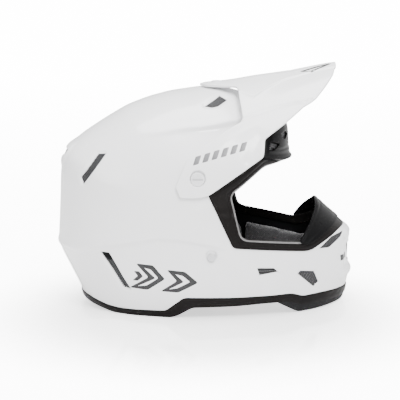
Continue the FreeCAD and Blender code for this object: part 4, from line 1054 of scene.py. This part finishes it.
# ============================================================================================
# Base trim and chin pad
# ============================================================================================
TRIM_EDGE = [(-230, 8.4), (-141, 7.5), (-106, 0.6), (-42, 0.6), (-33, 3), (-15, 13.6), (40.5, 14.4),
             (63.7, 15.5), (85, 16), (97, 15.4), (113, 9), (230, 8.6)]
CHIN_PAD = [(230, 8.2), (113.2, 8.5), (97.3, 14.9), (84.5, 15.2), (109, 0.6), (130, 0.6),
            (158, 2.2), (230, 4.0)]
CHIN_PAD_BOTTOM = [(84.5, 15.2), (109, 0), (130, 0), (158, 2.2), (230, 4)]


def base_height(points):
    x, z = points[:, 0], points[:, 2]
    top, bottom = distance_to(x, z, SHELL_EDGE), distance_to(x, z, TRIM_EDGE)
    return 1.5 - 0.5 * bell(top - 2.6, 0.6) - 0.8 * fade(bottom, 0, 2.4) - 0.4 * fade(top, 0, 1.2)


def chin_pad_height(points):
    x, z = points[:, 0], points[:, 2]
    bottom, top = distance_to(x, z, CHIN_PAD_BOTTOM), distance_to(x, z, CHIN_PAD[:3])
    return 0.6 - 0.9 * fade(bottom, 0, 3) - 0.5 * bell(top - 2.2, 0.6)


def build_base():
    sheet = triangulate([band_between(shell_line(TRIM_EDGE, 4), shell_edge, 1.4)], 1.5)
    add("base_trim", solid_sheet(sheet, base_height, lower=-6.0, inner_rim=0.4), TRIM_BLACK,
        sharp=50)
    edge = shell_line(CHIN_PAD, [0, 3, 3, 2, 4, 4, 4, 0])
    sheet = triangulate([closed_half(edge, 1.3)], 1.5)
    add("chin_bar_bottom_pad",
        solid_sheet(sheet, chin_pad_height, lower=-12.0, rim=0.7, inner_rim=0.4), RUBBER,
        sharp=50)


# ============================================================================================
# Screens, louvres and grille behind the openings
# ============================================================================================
SCREEN_RIM = dict(rim=0.16, inner_rim=0.12, rim_steps=2)
BROW_SCREEN = [(72, 192), (75, 204), (90, 210), (98.5, 205), (97, 195), (80, 186)]


def rotation(degrees):
    a = math.radians(degrees)
    return np.array([[math.cos(a), -math.sin(a)], [math.sin(a), math.cos(a)]])


def lattice_holes(region, pitch, bar):
    """Square holes on a grid turned 45 degrees, inside a chart loop."""
    turned = rotation(45.0).T
    low, high = region.min(0) - pitch, region.max(0) + pitch
    n = int(np.hypot(*(high - low)) / pitch / 2) + 2
    half = (pitch - bar) / 2
    square = np.array([[-half, -half], [half, -half], [half, half], [-half, half]]) @ turned
    steps = range(-n, n + 1)
    centres = np.array([[i * pitch, j * pitch] for i in steps for j in steps]) @ turned
    centres = centres + (low + high) / 2
    clear = nearest(centres, resample(region, 0.4)) > half * 1.45 + 0.45
    return [centre + square for centre in centres[is_inside(centres, region) & clear]]


def screen_half(outline, height, thick, grow):
    region = hole(outline, 1.5, 1.5, grow=grow)
    sheet = triangulate([region] + lattice_holes(region, pitch=2.1, bar=0.75), 1.6)
    return solid_sheet(sheet, height, thick=thick, mirror=False, **SCREEN_RIM)


def build_screens():
    for name, (grow, outline) in VENTS.items():
        half = screen_half(outline, lambda points: vented_height(points) - 0.9, 0.7, grow + 0.9)
        add_pair(name + "_screen", half, SCREEN_GREY)

    # brow: one screen each side behind the pair of windows, joined as the one piece it is
    half = screen_half(BROW_SCREEN, lambda points: brow_height(points) - 3.0, 0.9, 0.0)
    add("brow_vent_screen", join_parts([half, flip_y(*half)]), SCREEN_GREY)

    # rear exhaust: mesh across the middle
    edge = end_line(rounded([(0, 185.6), (-31.6, 185.6), (-25, 169.4), (0, 169.4)],
                            2.5, False, 3), -1)
    region = closed_half(edge, 1.4)
    sheet = triangulate([region] + lattice_holes(region, pitch=2.3, bar=0.8), 1.8)
    add("rear_exhaust_screen",
        solid_sheet(sheet, lambda points: shell_height(points) - 2.6, thick=0.9, **SCREEN_RIM),
        SCREEN_GREY)


def louvre_slots(region, count, gap_share, turn):
    """Long rounded slots across a chart loop, evenly spaced."""
    edge, corner = 1.2, 0.7
    R = rotation(turn)
    turned = region @ R
    low, high = turned.min(0), turned.max(0)
    pitch = (high[1] - low[1] - edge) / count
    half = pitch * gap_share / 2
    out = []
    for k in range(count):
        y = low[1] + edge / 2 + pitch * (k + 0.5)
        xs = np.linspace(low[0], high[0], 240)
        fits = np.ones(len(xs), bool)
        for dy in (-half - edge * 0.5, 0, half + edge * 0.5):
            fits &= is_inside(np.stack([xs, np.full_like(xs, y + dy)], 1), turned)
        if fits.sum() < 12:
            continue
        x0, x1 = xs[fits][0] + edge, xs[fits][-1] - edge
        if x1 - x0 < 2.5:
            continue
        slot = rounded([(x0, y - half), (x1, y - half), (x1, y + half), (x0, y + half)],
                       min(half, corner), True, 3)
        out.append(resample(slot, 1.2, True, 30) @ R.T)
    return out


def build_jaw_louvres():
    region = hole(JAW_SLOT, 1.2, 1.2, grow=1.4)
    slots = louvre_slots(region, count=3, gap_share=0.55, turn=-3.0)
    half = solid_sheet(triangulate([region] + slots, 1.4), lambda points: shell_height(points) - 2.4,
                       thick=1.8, rim=0.3, inner_rim=0.2, rim_steps=3, mirror=False)
    add_pair("jaw_slot_louvre", half, PLASTIC, sharp=45)


def build_chin_grille():
    """Horizontal slots each side of a fin down the middle."""
    edge = end_line(rounded([(0, 45.6), (-19, 45.6), (-26.6, 71.4), (0, 71.4)], 3, False, 4), 1)
    slots = []
    fin, half = 1.6, 0.95
    for z in np.arange(49.2, 70.0, 3.9):
        end = 17.5 + (z - 47) / 23 * 6.5 - 2.0
        slot = rounded([(-fin, z - half), (-end, z - half), (-end, z + half), (-fin, z + half)],
                       0.8, True, 3)
        slots.append(resample(end_line(slot, 1, step=1.2, closed=True), 1.2, True, 30))
    sheet = triangulate([closed_half(edge, 1.3)] + slots, 1.5)
    add("chin_vent_grille",
        solid_sheet(sheet, lambda points: shell_height(points) - 1.6, thick=2.2, rim=0.35,
                    inner_rim=0.2, rim_steps=3),
        PLASTIC, sharp=45)


# ============================================================================================
# The visor
# ============================================================================================
# side view: x, z
VISOR_EDGE = [(113, 243.9), (104, 236.6), (92.4, 227.6), (67.8, 210), (65.7, 189), (4.0, 147.2),
              (-8.0, 144.2), (-27.6, 144.6), (-32.5, 155.8), (-19.6, 186.5), (27, 218.5),
              (44, 227.5), (43, 238)]
VISOR_EDGE_RADII = [0, 4, 6, 3, 2.5, 5, 6, 1.6, 1.6, 1.6, 5, 4, 3]
SIDE_CREASE = [(20, 219), (44.7, 230.4), (72.4, 238.8), (100.1, 245.7), (112, 247)]
SIDE_HOLLOW = [(62.0, 207), (56, 198), (47.6, 184)]
ARM_RIB = [(-22, 150), (-14, 176), (30, 208), (60, 222)]
SIDE_SCREW = (-8.5, 164.5)
# from above: x, distance from the middle
VISOR_FRONT = [(153.2, 0), (152.6, 20), (150, 37), (139.4, 61.5), (126.1, 79.7), (113.6, 86.4)]
VISOR_REAR = [(41, 60), (38, 34), (2, 15), (-5, 0)]
FRONT_LIP = [(154, 0), (153, 22), (149, 48), (139, 68), (112, 88), (106, 104)]
TOP_CREASE = [(37.2, 46.4), (54.2, 61.9), (75.8, 42.6), (92.8, 30), (120, 24), (156, 17)]
UNDER_RIBS = [[(60, 20), (100, 16), (148, 12)], [(62, 52), (100, 42), (146, 34)],
              [(70, 76), (104, 68), (134, 58)]]


def visor_height(points):
    x, y, z = points.T
    side_y = np.abs(y)
    # outboard of the upper crease the wing drops, inboard lies the raised centre
    gap, side = line_gap(x, side_y, [(30, 45)] + TOP_CREASE)
    zone = ease(x, 28, 44) * ease(z, 228, 240)
    outboard = np.where(side > 0, gap, 0)
    height = 4.2 - 1.5 * zone * ease(outboard, 0, 3.5) * fade(outboard, 8, 30)
    height += 0.7 * zone * bell(gap, 2.2)
    # flat centre plateau that narrows to the tip, with a shallow well
    narrowing = 3 * ease(x, 60, 150)
    height += 0.8 * ease(x, 26, 60) * fade(side_y, 12 - narrowing, 17 - narrowing)
    height -= 1.5 * ease(x, 84, 88) * fade(x, 112, 118) * fade(side_y, 5, 8.5)
    # side crease and the scoop below it
    gap, side = line_gap(x, z, SIDE_CREASE)
    below = np.where(side < 0, gap, 0)
    zone = ease(x, 6, 40) * ease(z, 196, 214) * ease(side_y, 55, 70)
    height -= 1.5 * zone * ease(below, 0, 3.5) * fade(below, 9, 30)
    height += 0.8 * zone * bell(gap, 2.0)
    height -= 1.7 * bell(distance_to(x, z, SIDE_HOLLOW), 6.5) * ease(x, 30, 48)
    # lip along the front edge
    height += 0.9 * fade(distance_to(x, side_y, FRONT_LIP), 0.5, 4.5) * ease(z, 225, 236)
    # a seam across the crown of the peak
    height -= 1.3 * bell(x - 100, 1.1) * fade(side_y, 14, 20) * ease(z, 236, 242)
    # shallow round seat for each side screw
    radius = np.hypot(x - SIDE_SCREW[0], z - SIDE_SCREW[1])
    height = np.where((side_y > 90) & (radius < 14), height - 2.6 * fade(radius, 8.2, 8.8), height)
    # rib of the arm
    rib = bell(distance_to(x, z, ARM_RIB), 2.6)
    return height + 0.5 * rib * ease(side_y, 80, 95) * ease(x, -24, -12)


def build_visor():
    front = top_line(rounded(VISOR_FRONT, [0, 14, 10, 12, 8, 0], False, 6), raised=4.0)
    side = dense_chart(rounded(VISOR_EDGE, VISOR_EDGE_RADII, False, 4), VISOR_SKIN, False, 0.7, 3.6)
    rear = top_line(rounded(VISOR_REAR, [0, 7, 7, 0], False, 5), raised=4.0)
    outline = joined(middle_arc(rear[-1], front[0]), front, side, rear, spacing=1.4)
    seat = circle(SIDE_SCREW, 8.5, corners=39, skin=VISOR_SKIN, step=1.0, spacing=0.8)
    fine = [top_line(TOP_CREASE, step=2.0), cut_line(SIDE_CREASE, VISOR_SKIN, 2.0), seat,
            outline[::3]]
    sheet = triangulate([outline], 2.2, fine, fine_spacing=1.2)
    parts = [solid_sheet(sheet, visor_height, thick=3.0, rim=1.0, inner_rim=0.5, rim_steps=5,
                         skin=VISOR_SKIN)]
    # ribs under the peak
    profile = round_profile(width=2.0, height=2.2, count=10, power=4.0)
    for line in UNDER_RIBS:
        rib = sweep(*on_skin(top_line(line, step=2.0), 0.5, VISOR_SKIN), profile)
        parts += [rib, flip_y(*rib)]
    add("visor_peak", join_parts(parts), VISOR_WHITE, sharp=50, body="visor")


# ============================================================================================
# Soft goods, inflated as cloth
# ============================================================================================
def copy_of(node, name):
    mesh = NODES[node].data.copy()
    mesh.name = name
    mesh.materials.clear()
    ob = bpy.data.objects.new(name, mesh)
    COLLECTION.objects.link(ob)
    return ob


def apply_modifiers(ob):
    bpy.context.view_layer.update()
    depsgraph = bpy.context.evaluated_depsgraph_get()
    mesh = bpy.data.meshes.new_from_object(ob.evaluated_get(depsgraph))
    old = ob.data
    ob.modifiers.clear()
    ob.data = mesh
    bpy.data.meshes.remove(old)


def vertex_values(ob, attribute):
    values = np.zeros(len(ob.data.vertices) * 3)
    ob.data.vertices.foreach_get(attribute, values)
    return values.reshape(-1, 3)


def inflate(ob, pressure, frames=20):
    """A short cloth run with inside pressure and no gravity."""
    cloth = ob.modifiers.new("cloth", "CLOTH")
    settings = cloth.settings
    settings.quality = 6
    settings.mass = 0.25
    settings.tension_stiffness = settings.compression_stiffness = 18
    settings.shear_stiffness = 8
    settings.bending_stiffness = 0.6
    settings.use_pressure = True
    settings.uniform_pressure_force = pressure
    settings.effector_weights.gravity = 0.0
    cloth.collision_settings.use_collision = False
    cloth.point_cache.frame_start = 1
    cloth.point_cache.frame_end = frames
    scene = bpy.context.scene
    for number in range(1, frames + 1):
        scene.frame_set(number)
    apply_modifiers(ob)
    scene.frame_set(1)


def puffed(node, material, body, voxel, pressure, cap, groove=None, name=None):
    """A padded piece: the frame's solid remeshed and inflated, its swelling capped.

    groove(points, normals) gives a depth to press in, all in millimetres."""
    ob = copy_of(node, name or node)
    remesh = ob.modifiers.new("remesh", "REMESH")
    remesh.mode = "VOXEL"
    remesh.voxel_size = voxel * MM
    remesh.use_smooth_shade = True
    apply_modifiers(ob)
    even = ob.modifiers.new("even", "SMOOTH")
    even.factor = 0.5
    even.iterations = 4
    apply_modifiers(ob)
    rest = vertex_values(ob, "co")
    inflate(ob, pressure)
    swelling = vertex_values(ob, "co") - rest
    size = np.linalg.norm(swelling, axis=1)
    points = rest + swelling * np.minimum(1, cap * MM / np.maximum(size, 1e-9))[:, None]
    ob.data.vertices.foreach_set("co", points.ravel())
    if groove is not None:
        ob.data.update()
        normals = vertex_values(ob, "normal")
        points = points - normals * (groove(points / MM, normals) * MM)[:, None]
        ob.data.vertices.foreach_set("co", points.ravel())
    fine = ob.modifiers.new("fine", "SUBSURF")
    fine.levels = fine.render_levels = 1
    apply_modifiers(ob)
    ob.data.materials.clear()
    ob.data.materials.append(material)
    ob.data.shade_smooth()
    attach(ob, body)
    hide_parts(node)
    return ob


def lay(tree, points, push, lift):
    """Points dropped on a surface along push; returns smoothed points and normals."""
    push = Vector(push)
    laid, normals = [], []
    for point in points:
        hit, normal, _, _ = tree.ray_cast(Vector(point) * MM - push * 0.05, push)
        if hit is None:
            hit, normal, _, _ = tree.find_nearest(Vector(point) * MM)
        if normal.dot(push) > 0:
            normal = -normal
        laid.append(np.array(hit) / MM + np.array(normal) * lift)
        normals.append(np.array(normal))
    laid = np.array(laid)
    for _ in range(2):
        laid[1:-1] = (laid[:-2] + 2 * laid[1:-1] + laid[2:]) / 4
    return laid, np.array(normals)


def stitches(name, path, normals, parent, length=2.6, gap=1.5, width=0.7):
    """A run of separate thread stitches lying along a path."""
    run = np.r_[0, np.cumsum(np.linalg.norm(np.diff(path, axis=0), axis=1))]
    arch = 0.25 * np.sin(np.linspace(0, math.pi, 5)) - 0.05
    profile = round_profile(width, width * 0.7, 6)
    parts, start = [], 0.6
    while start + length < run[-1]:
        stops = np.linspace(start, start + length, 5)
        points, up = (np.stack([np.interp(stops, run, line[:, k]) for k in range(3)], 1)
                      for line in (path, normals))
        up = unit(up)
        parts.append(sweep(points + up * arch[:, None], up, profile))
        start += length + gap
    mesh_object(name, join_parts(parts), THREAD).parent = parent


# side view: x, z
CHEEK_PAD = [(-30, 38), (-40, 56), (-38, 104), (-6, 110), (18, 107), (27, 84), (46, 70), (46, 42),
             (36, 38)]
CHEEK_GROOVE = [(-39, 72), (0, 76), (46, 60)]
CHEEK_STITCH = [(-34, 75.6), (0, 79.6), (40, 65)]


def cheek_groove(points, normals):
    gap = distance_to(points[:, 0], points[:, 2], CHEEK_GROOVE)
    return 2.2 * bell(gap, 2.6) * (np.abs(normals[:, 1]) > 0.35)


def build_cheek_pad(side, sign):
    """A pad with piping and a stitched groove; sign is the side's direction along Y."""
    node = "cheek_pad_" + side
    pad = puffed(node, KNIT, node, voxel=4.5, pressure=4.0, cap=4.0,
                 groove=cheek_groove)
    tree = BVHTree.FromPolygons([v.co.copy() for v in pad.data.vertices],
                                [tuple(p.vertices) for p in pad.data.polygons])

    def laid(xz, lift):
        return lay(tree, [(x, sign * 70, z) for x, z in xz], (0, sign, 0), lift)

    piping_line = along(rounded(grow_outline(CHEEK_PAD, -7.5), 8), 2.0, closed=True)
    tube = sweep(*laid(piping_line, 0.2), round_profile(2.2, 1.8, 10), True)
    mesh_object("cheek_pad_piping_" + side, tube, THREAD).parent = pad
    stitches("cheek_pad_stitch_" + side, *laid(along(CHEEK_STITCH, 2.0), 0.3), pad)


def neck_groove(points, normals):
    """One groove along the roll."""
    return 1.6 * bell(points[:, 2] - 28, 1.6)


def quilt_groove(points, normals):
    """Channels from front to back, 26 mm apart."""
    return 1.3 * bell(((np.abs(points[:, 1]) + 13) % 26) - 13, 1.9)


def build_soft_goods():
    build_cheek_pad("right", -1)
    build_cheek_pad("left", 1)
    puffed("neck_roll", KNIT, "shell", voxel=5.0, pressure=3.5, cap=3.0,
           groove=neck_groove)
    puffed("comfort_liner", KNIT, "inner_liner", voxel=5.0, pressure=2.0, cap=1.5,
           groove=quilt_groove)


def build_chin_liner():
    puffed("chin_bar_liner", SPACER, "shell", voxel=4.0, pressure=2.0, cap=1.2,
           name="chin_bar_liner_pad")


# ============================================================================================
# Straps and pull tabs
# ============================================================================================
def eased_copy(node, material, body, bevel, triangles):
    """The frame's piece with its sharp edges bevelled."""
    ob = copy_of(node, node)
    bm = bmesh.new()
    bm.from_mesh(ob.data)
    bmesh.ops.remove_doubles(bm, verts=bm.verts, dist=1e-5)
    bmesh.ops.dissolve_limit(bm, angle_limit=math.radians(1.0), verts=bm.verts, edges=bm.edges)
    sharp = [e for e in bm.edges
             if len(e.link_faces) == 2 and e.calc_face_angle(0) > math.radians(50)]
    bmesh.ops.bevel(bm, geom=sharp, offset=bevel * MM, segments=3, profile=0.6, affect="EDGES",
                    clamp_overlap=True)
    if triangles:
        bmesh.ops.triangulate(bm, faces=bm.faces)
    bm.to_mesh(ob.data)
    bm.free()
    ob.data.materials.append(material)
    ob.data.shade_smooth()
    ob.data.set_sharp_from_angle(angle=math.radians(40))
    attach(ob, body)
    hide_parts(node)
    return ob


def build_straps():
    for side in ("left", "right"):
        node = "strap_" + side
        eased_copy(node, WEBBING, node, bevel=0.45, triangles=True)
    for side, sign in (("right", -1), ("left", 1)):
        tab = eased_copy("pull_tab_" + side, RED_TAPE, "cheek_pad_" + side, bevel=0.5,
                         triangles=False)
        # two upright stitch lines on the face towards the middle
        for k, x in enumerate((35.3, 44.7)):
            path = np.array([(x, sign * 77.9, z) for z in np.arange(14, 37, 1.0)])
            normals = np.tile([0, -sign, 0], (len(path), 1))
            stitches("pull_tab_stitch_%s_%d" % (side, k), path, normals, tab, length=1.8, gap=1.2,
                     width=0.6)


# ============================================================================================
# Plain graphics, no lettering
# ============================================================================================
# rear quarter, side view: x, z
BADGE_CHEVRONS = [[(-87, 35), (-66, 33.5), (-46, 47.5), (-60, 63), (-80, 64), (-65, 49)],
                  [(-51, 32.5), (-31, 31.5), (-8, 43.5), (-23, 56.5), (-44, 58.5), (-32, 45.5)]]
BADGE_BAR = [(-83.5, 44), (-77.5, 44), (-71.5, 49.6), (-76, 55), (-82, 55), (-77.5, 49.6)]
# peak, from above: x, distance from the middle
TIP_BARS = [[(112, 15), (146, 5), (149, 8.4), (114, 19)],
            [(112, 15), (114, 19), (126, 27), (124, 22.4)],
            [(124, 22.4), (126, 27), (149, 8.4), (145, 7.6)]]


def decal(name, shapes, material, skin, height, body, spacing=1.8):
    """Thin shapes just proud of the surface, on both sides; a shape is a list of chart loops."""
    parts = []
    for loops in shapes:
        half = solid_sheet(triangulate(loops, spacing), lambda points: height(points) + 0.12,
                           thick=0.3, rim=0.1, inner_rim=0.05, rim_steps=2, mirror=False, skin=skin)
        parts += [half, flip_y(*half)]
    add(name, join_parts(parts), material, body=body, replaces=False)


def build_decals():
    on_visor = dict(skin=VISOR_SKIN, height=visor_height, body="visor")
    on_shell = dict(skin=SHELL_SKIN, height=shell_height, body="shell")

    # visor arm: a row of slanted bars rising with the arm
    bars = []
    for k in range(6):
        x, z = -14 + 10.2 * k, 182.5 + 2.9 * k
        bar = [(x, z - 4.2), (x + 6.2, z - 4.2 + 1.7), (x + 9.4, z + 5.2 + 1.7),
               (x + 3.2, z + 5.2)]
        bars.append([hole(bar, 0.8, 1.2, VISOR_SKIN)])
    decal("visor_arm_bars", bars, DECAL_GREY, **on_visor)

    # rear quarter: two outlined chevrons and a bar
    chevrons = [[hole(outline, 2.4, 1.2), hole(outline, 1.6, 1.2, grow=-5.0)]
                for outline in BADGE_CHEVRONS]
    decal("rear_badge_outline", chevrons, DECAL_DARK, **on_shell)
    decal("rear_badge_bars", [[hole(BADGE_BAR, 0.8, 1.2)]], DECAL_DARK, **on_shell)

    bars = []
    for outline in TIP_BARS:
        line = top_line(rounded(outline, 0.8, True, 3), step=0.8, raised=4.2, closed=True)
        bars.append([resample(line, 1.2, True, 40)])
    decal("visor_tip_bars", bars, DECAL_DARK, spacing=1.6, **on_visor)

    # chin: two plain blocks each side of the grille
    blocks = []
    for k in range(2):
        block = [(-28.0 - 9.0 * k, 60), (-34.4 - 9.0 * k, 60), (-32.8 - 9.0 * k, 53),
                 (-26.4 - 9.0 * k, 53)]
        blocks.append([resample(end_line(block, 1, step=0.8, closed=True), 1.1, True, 40)])
    decal("chin_bars", blocks, DECAL_DARK, spacing=1.6, **on_shell)


# ============================================================================================
# Frame pieces kept as they are, with better materials
# ============================================================================================
KEPT = [
    (FOAM, ["outer_liner", "inner_liner"]),
    (DAMPER, ["isolation_dampers"]),
    (STEEL, ["visor_side_nuts", "strap_rivets", "visor_top_nut"]),
    (SCREW_WHITE, ["visor_screw_left", "visor_screw_right", "visor_screw_top"]),
    (PLASTIC, ["cheek_snap_sockets", "cheek_pad_plate_left", "cheek_pad_plate_right"]),
    (STEEL, ["cheek_snap_studs_left", "cheek_snap_studs_right", "strap_anchor_left",
             "strap_anchor_right", "strap_keeper", "d_ring_inner", "d_ring_outer"]),
]


def fill_slots(mesh, material):
    for i in range(len(mesh.materials)):
        mesh.materials[i] = material


def dress_kept_pieces():
    kept = set()
    for material, names in KEPT:
        for name in names:
            mesh = NODES[name].data
            if not mesh.materials:
                mesh.materials.append(material)
            fill_slots(mesh, material)
            kept.add(name)
    for name in NODES:
        if name not in kept and not NODES[name].hide_render:
            fill_slots(NODES[name].data, PLASTIC)


# ============================================================================================
# World, floor, lights and camera, in metres
# ============================================================================================
def build_world():
    """White surroundings, brighter to the camera than to the object."""
    world = bpy.data.worlds.new("studio")
    bpy.context.scene.world = world
    world.use_nodes = True
    tree = world.node_tree
    lighting = tree.nodes["Background"]
    seen = tree.nodes.new("ShaderNodeBackground")
    for background, strength in ((lighting, 1.42), (seen, 14.0)):
        background.inputs["Color"].default_value = (1, 1, 1, 1)
        background.inputs["Strength"].default_value = strength
    path = tree.nodes.new("ShaderNodeLightPath")
    mix = tree.nodes.new("ShaderNodeMixShader")
    tree.links.new(path.outputs["Is Camera Ray"], mix.inputs[0])
    tree.links.new(lighting.outputs[0], mix.inputs[1])
    tree.links.new(seen.outputs[0], mix.inputs[2])
    tree.links.new(mix.outputs[0], tree.nodes["World Output"].inputs[0])


def floor_material():
    """A table with painted light: it glows for the camera only, more towards the horizon, and the glow
    is dimmed round the helmet's base as a painted soft shadow.
    """
    s = Shader("floor_white")
    s.set(Base_Color=(0.94, 0.94, 0.94, 1), Specular_IOR_Level=0.5)
    s.set(Roughness=s.math("MULTIPLY_ADD", s.noise(3.0), 0.03, 0.07))
    path = s.node("LightPath")
    x, y, z = s.axes()
    far = s.node("MapRange", From_Min=0.15, From_Max=2.2, To_Min=9.0, To_Max=14.0, Value=y)
    # painted shadow: the glow fades out in an oval round the helmet's base, darkening the floor there,
    # and the real shade and reflection show through it
    across = s.math("MULTIPLY", s.math("ADD", x, 0.0), 1 / 0.27)
    deep = s.math("MULTIPLY", s.math("ADD", y, 0.10), 1 / 0.30)
    squares = s.math("ADD", s.math("MULTIPLY", across, across), s.math("MULTIPLY", deep, deep))
    painted_shadow_oval = s.node("MapRange", From_Min=0.45, From_Max=1.2, To_Min=0.14, To_Max=1.0,
                  Value=s.math("SQRT", squares, 0.0))
    painted_shadow_oval.interpolation_type = "SMOOTHSTEP"
    glow = s.math("MULTIPLY", far.outputs[0], painted_shadow_oval.outputs[0])
    s.set(Emission_Strength=s.math("MULTIPLY", path.outputs["Is Camera Ray"], glow),
          Emission_Color=(1, 1, 1, 1))
    return s.material


def build_floor():
    mesh = bpy.data.meshes.new("floor")
    mesh.from_pydata([(-8, -8, 0), (8, -8, 0), (8, 30, 0), (-8, 30, 0)], [], [(0, 1, 2, 3)])
    floor = bpy.data.objects.new("floor", mesh)
    COLLECTION.objects.link(floor)
    mesh.materials.append(floor_material())


def aim(ob, target):
    ob.rotation_mode = "QUATERNION"
    ob.rotation_quaternion = (Vector(target) - ob.location).to_track_quat("-Z", "Y")
    COLLECTION.objects.link(ob)


def soft_light(name, location, size, energy):
    """A square area light aimed at the helmet."""
    light = bpy.data.lights.new(name, "AREA")
    light.shape = "RECTANGLE"
    light.size = light.size_y = size
    light.energy = energy
    ob = bpy.data.objects.new(name, light)
    ob.location = location
    aim(ob, (0, 0, 0.13))


def build_camera(distance=2.5, elevation=math.radians(10)):
    """A long lens looking at the right side from a little above."""
    target = Vector((-0.00576, 0, 0.1185))
    data = bpy.data.cameras.new("camera")
    data.lens = 187.5
    data.sensor_width = 36.0
    data.sensor_fit = "AUTO"
    data.clip_start = 0.1
    data.clip_end = 60
    camera = bpy.data.objects.new("camera", data)
    camera.location = target + Vector((0, -math.cos(elevation), math.sin(elevation))) * distance
    aim(camera, target)
    bpy.context.scene.camera = camera


# ============================================================================================
# Build everything
# ============================================================================================
build_shell()
build_eyeport()
build_guards()
build_base()
build_screens()
build_jaw_louvres()
build_chin_grille()
build_visor()
build_soft_goods()
build_straps()
build_decals()
build_chin_liner()
dress_kept_pieces()

build_world()
build_floor()
soft_light("key", location=(0.6, -1.6, 1.9), size=1.1, energy=94)
soft_light("top", location=(-0.1, 0.2, 2.0), size=1.5, energy=64)
soft_light("fill", location=(-1.8, -1.2, 0.9), size=1.2, energy=12)
build_camera()
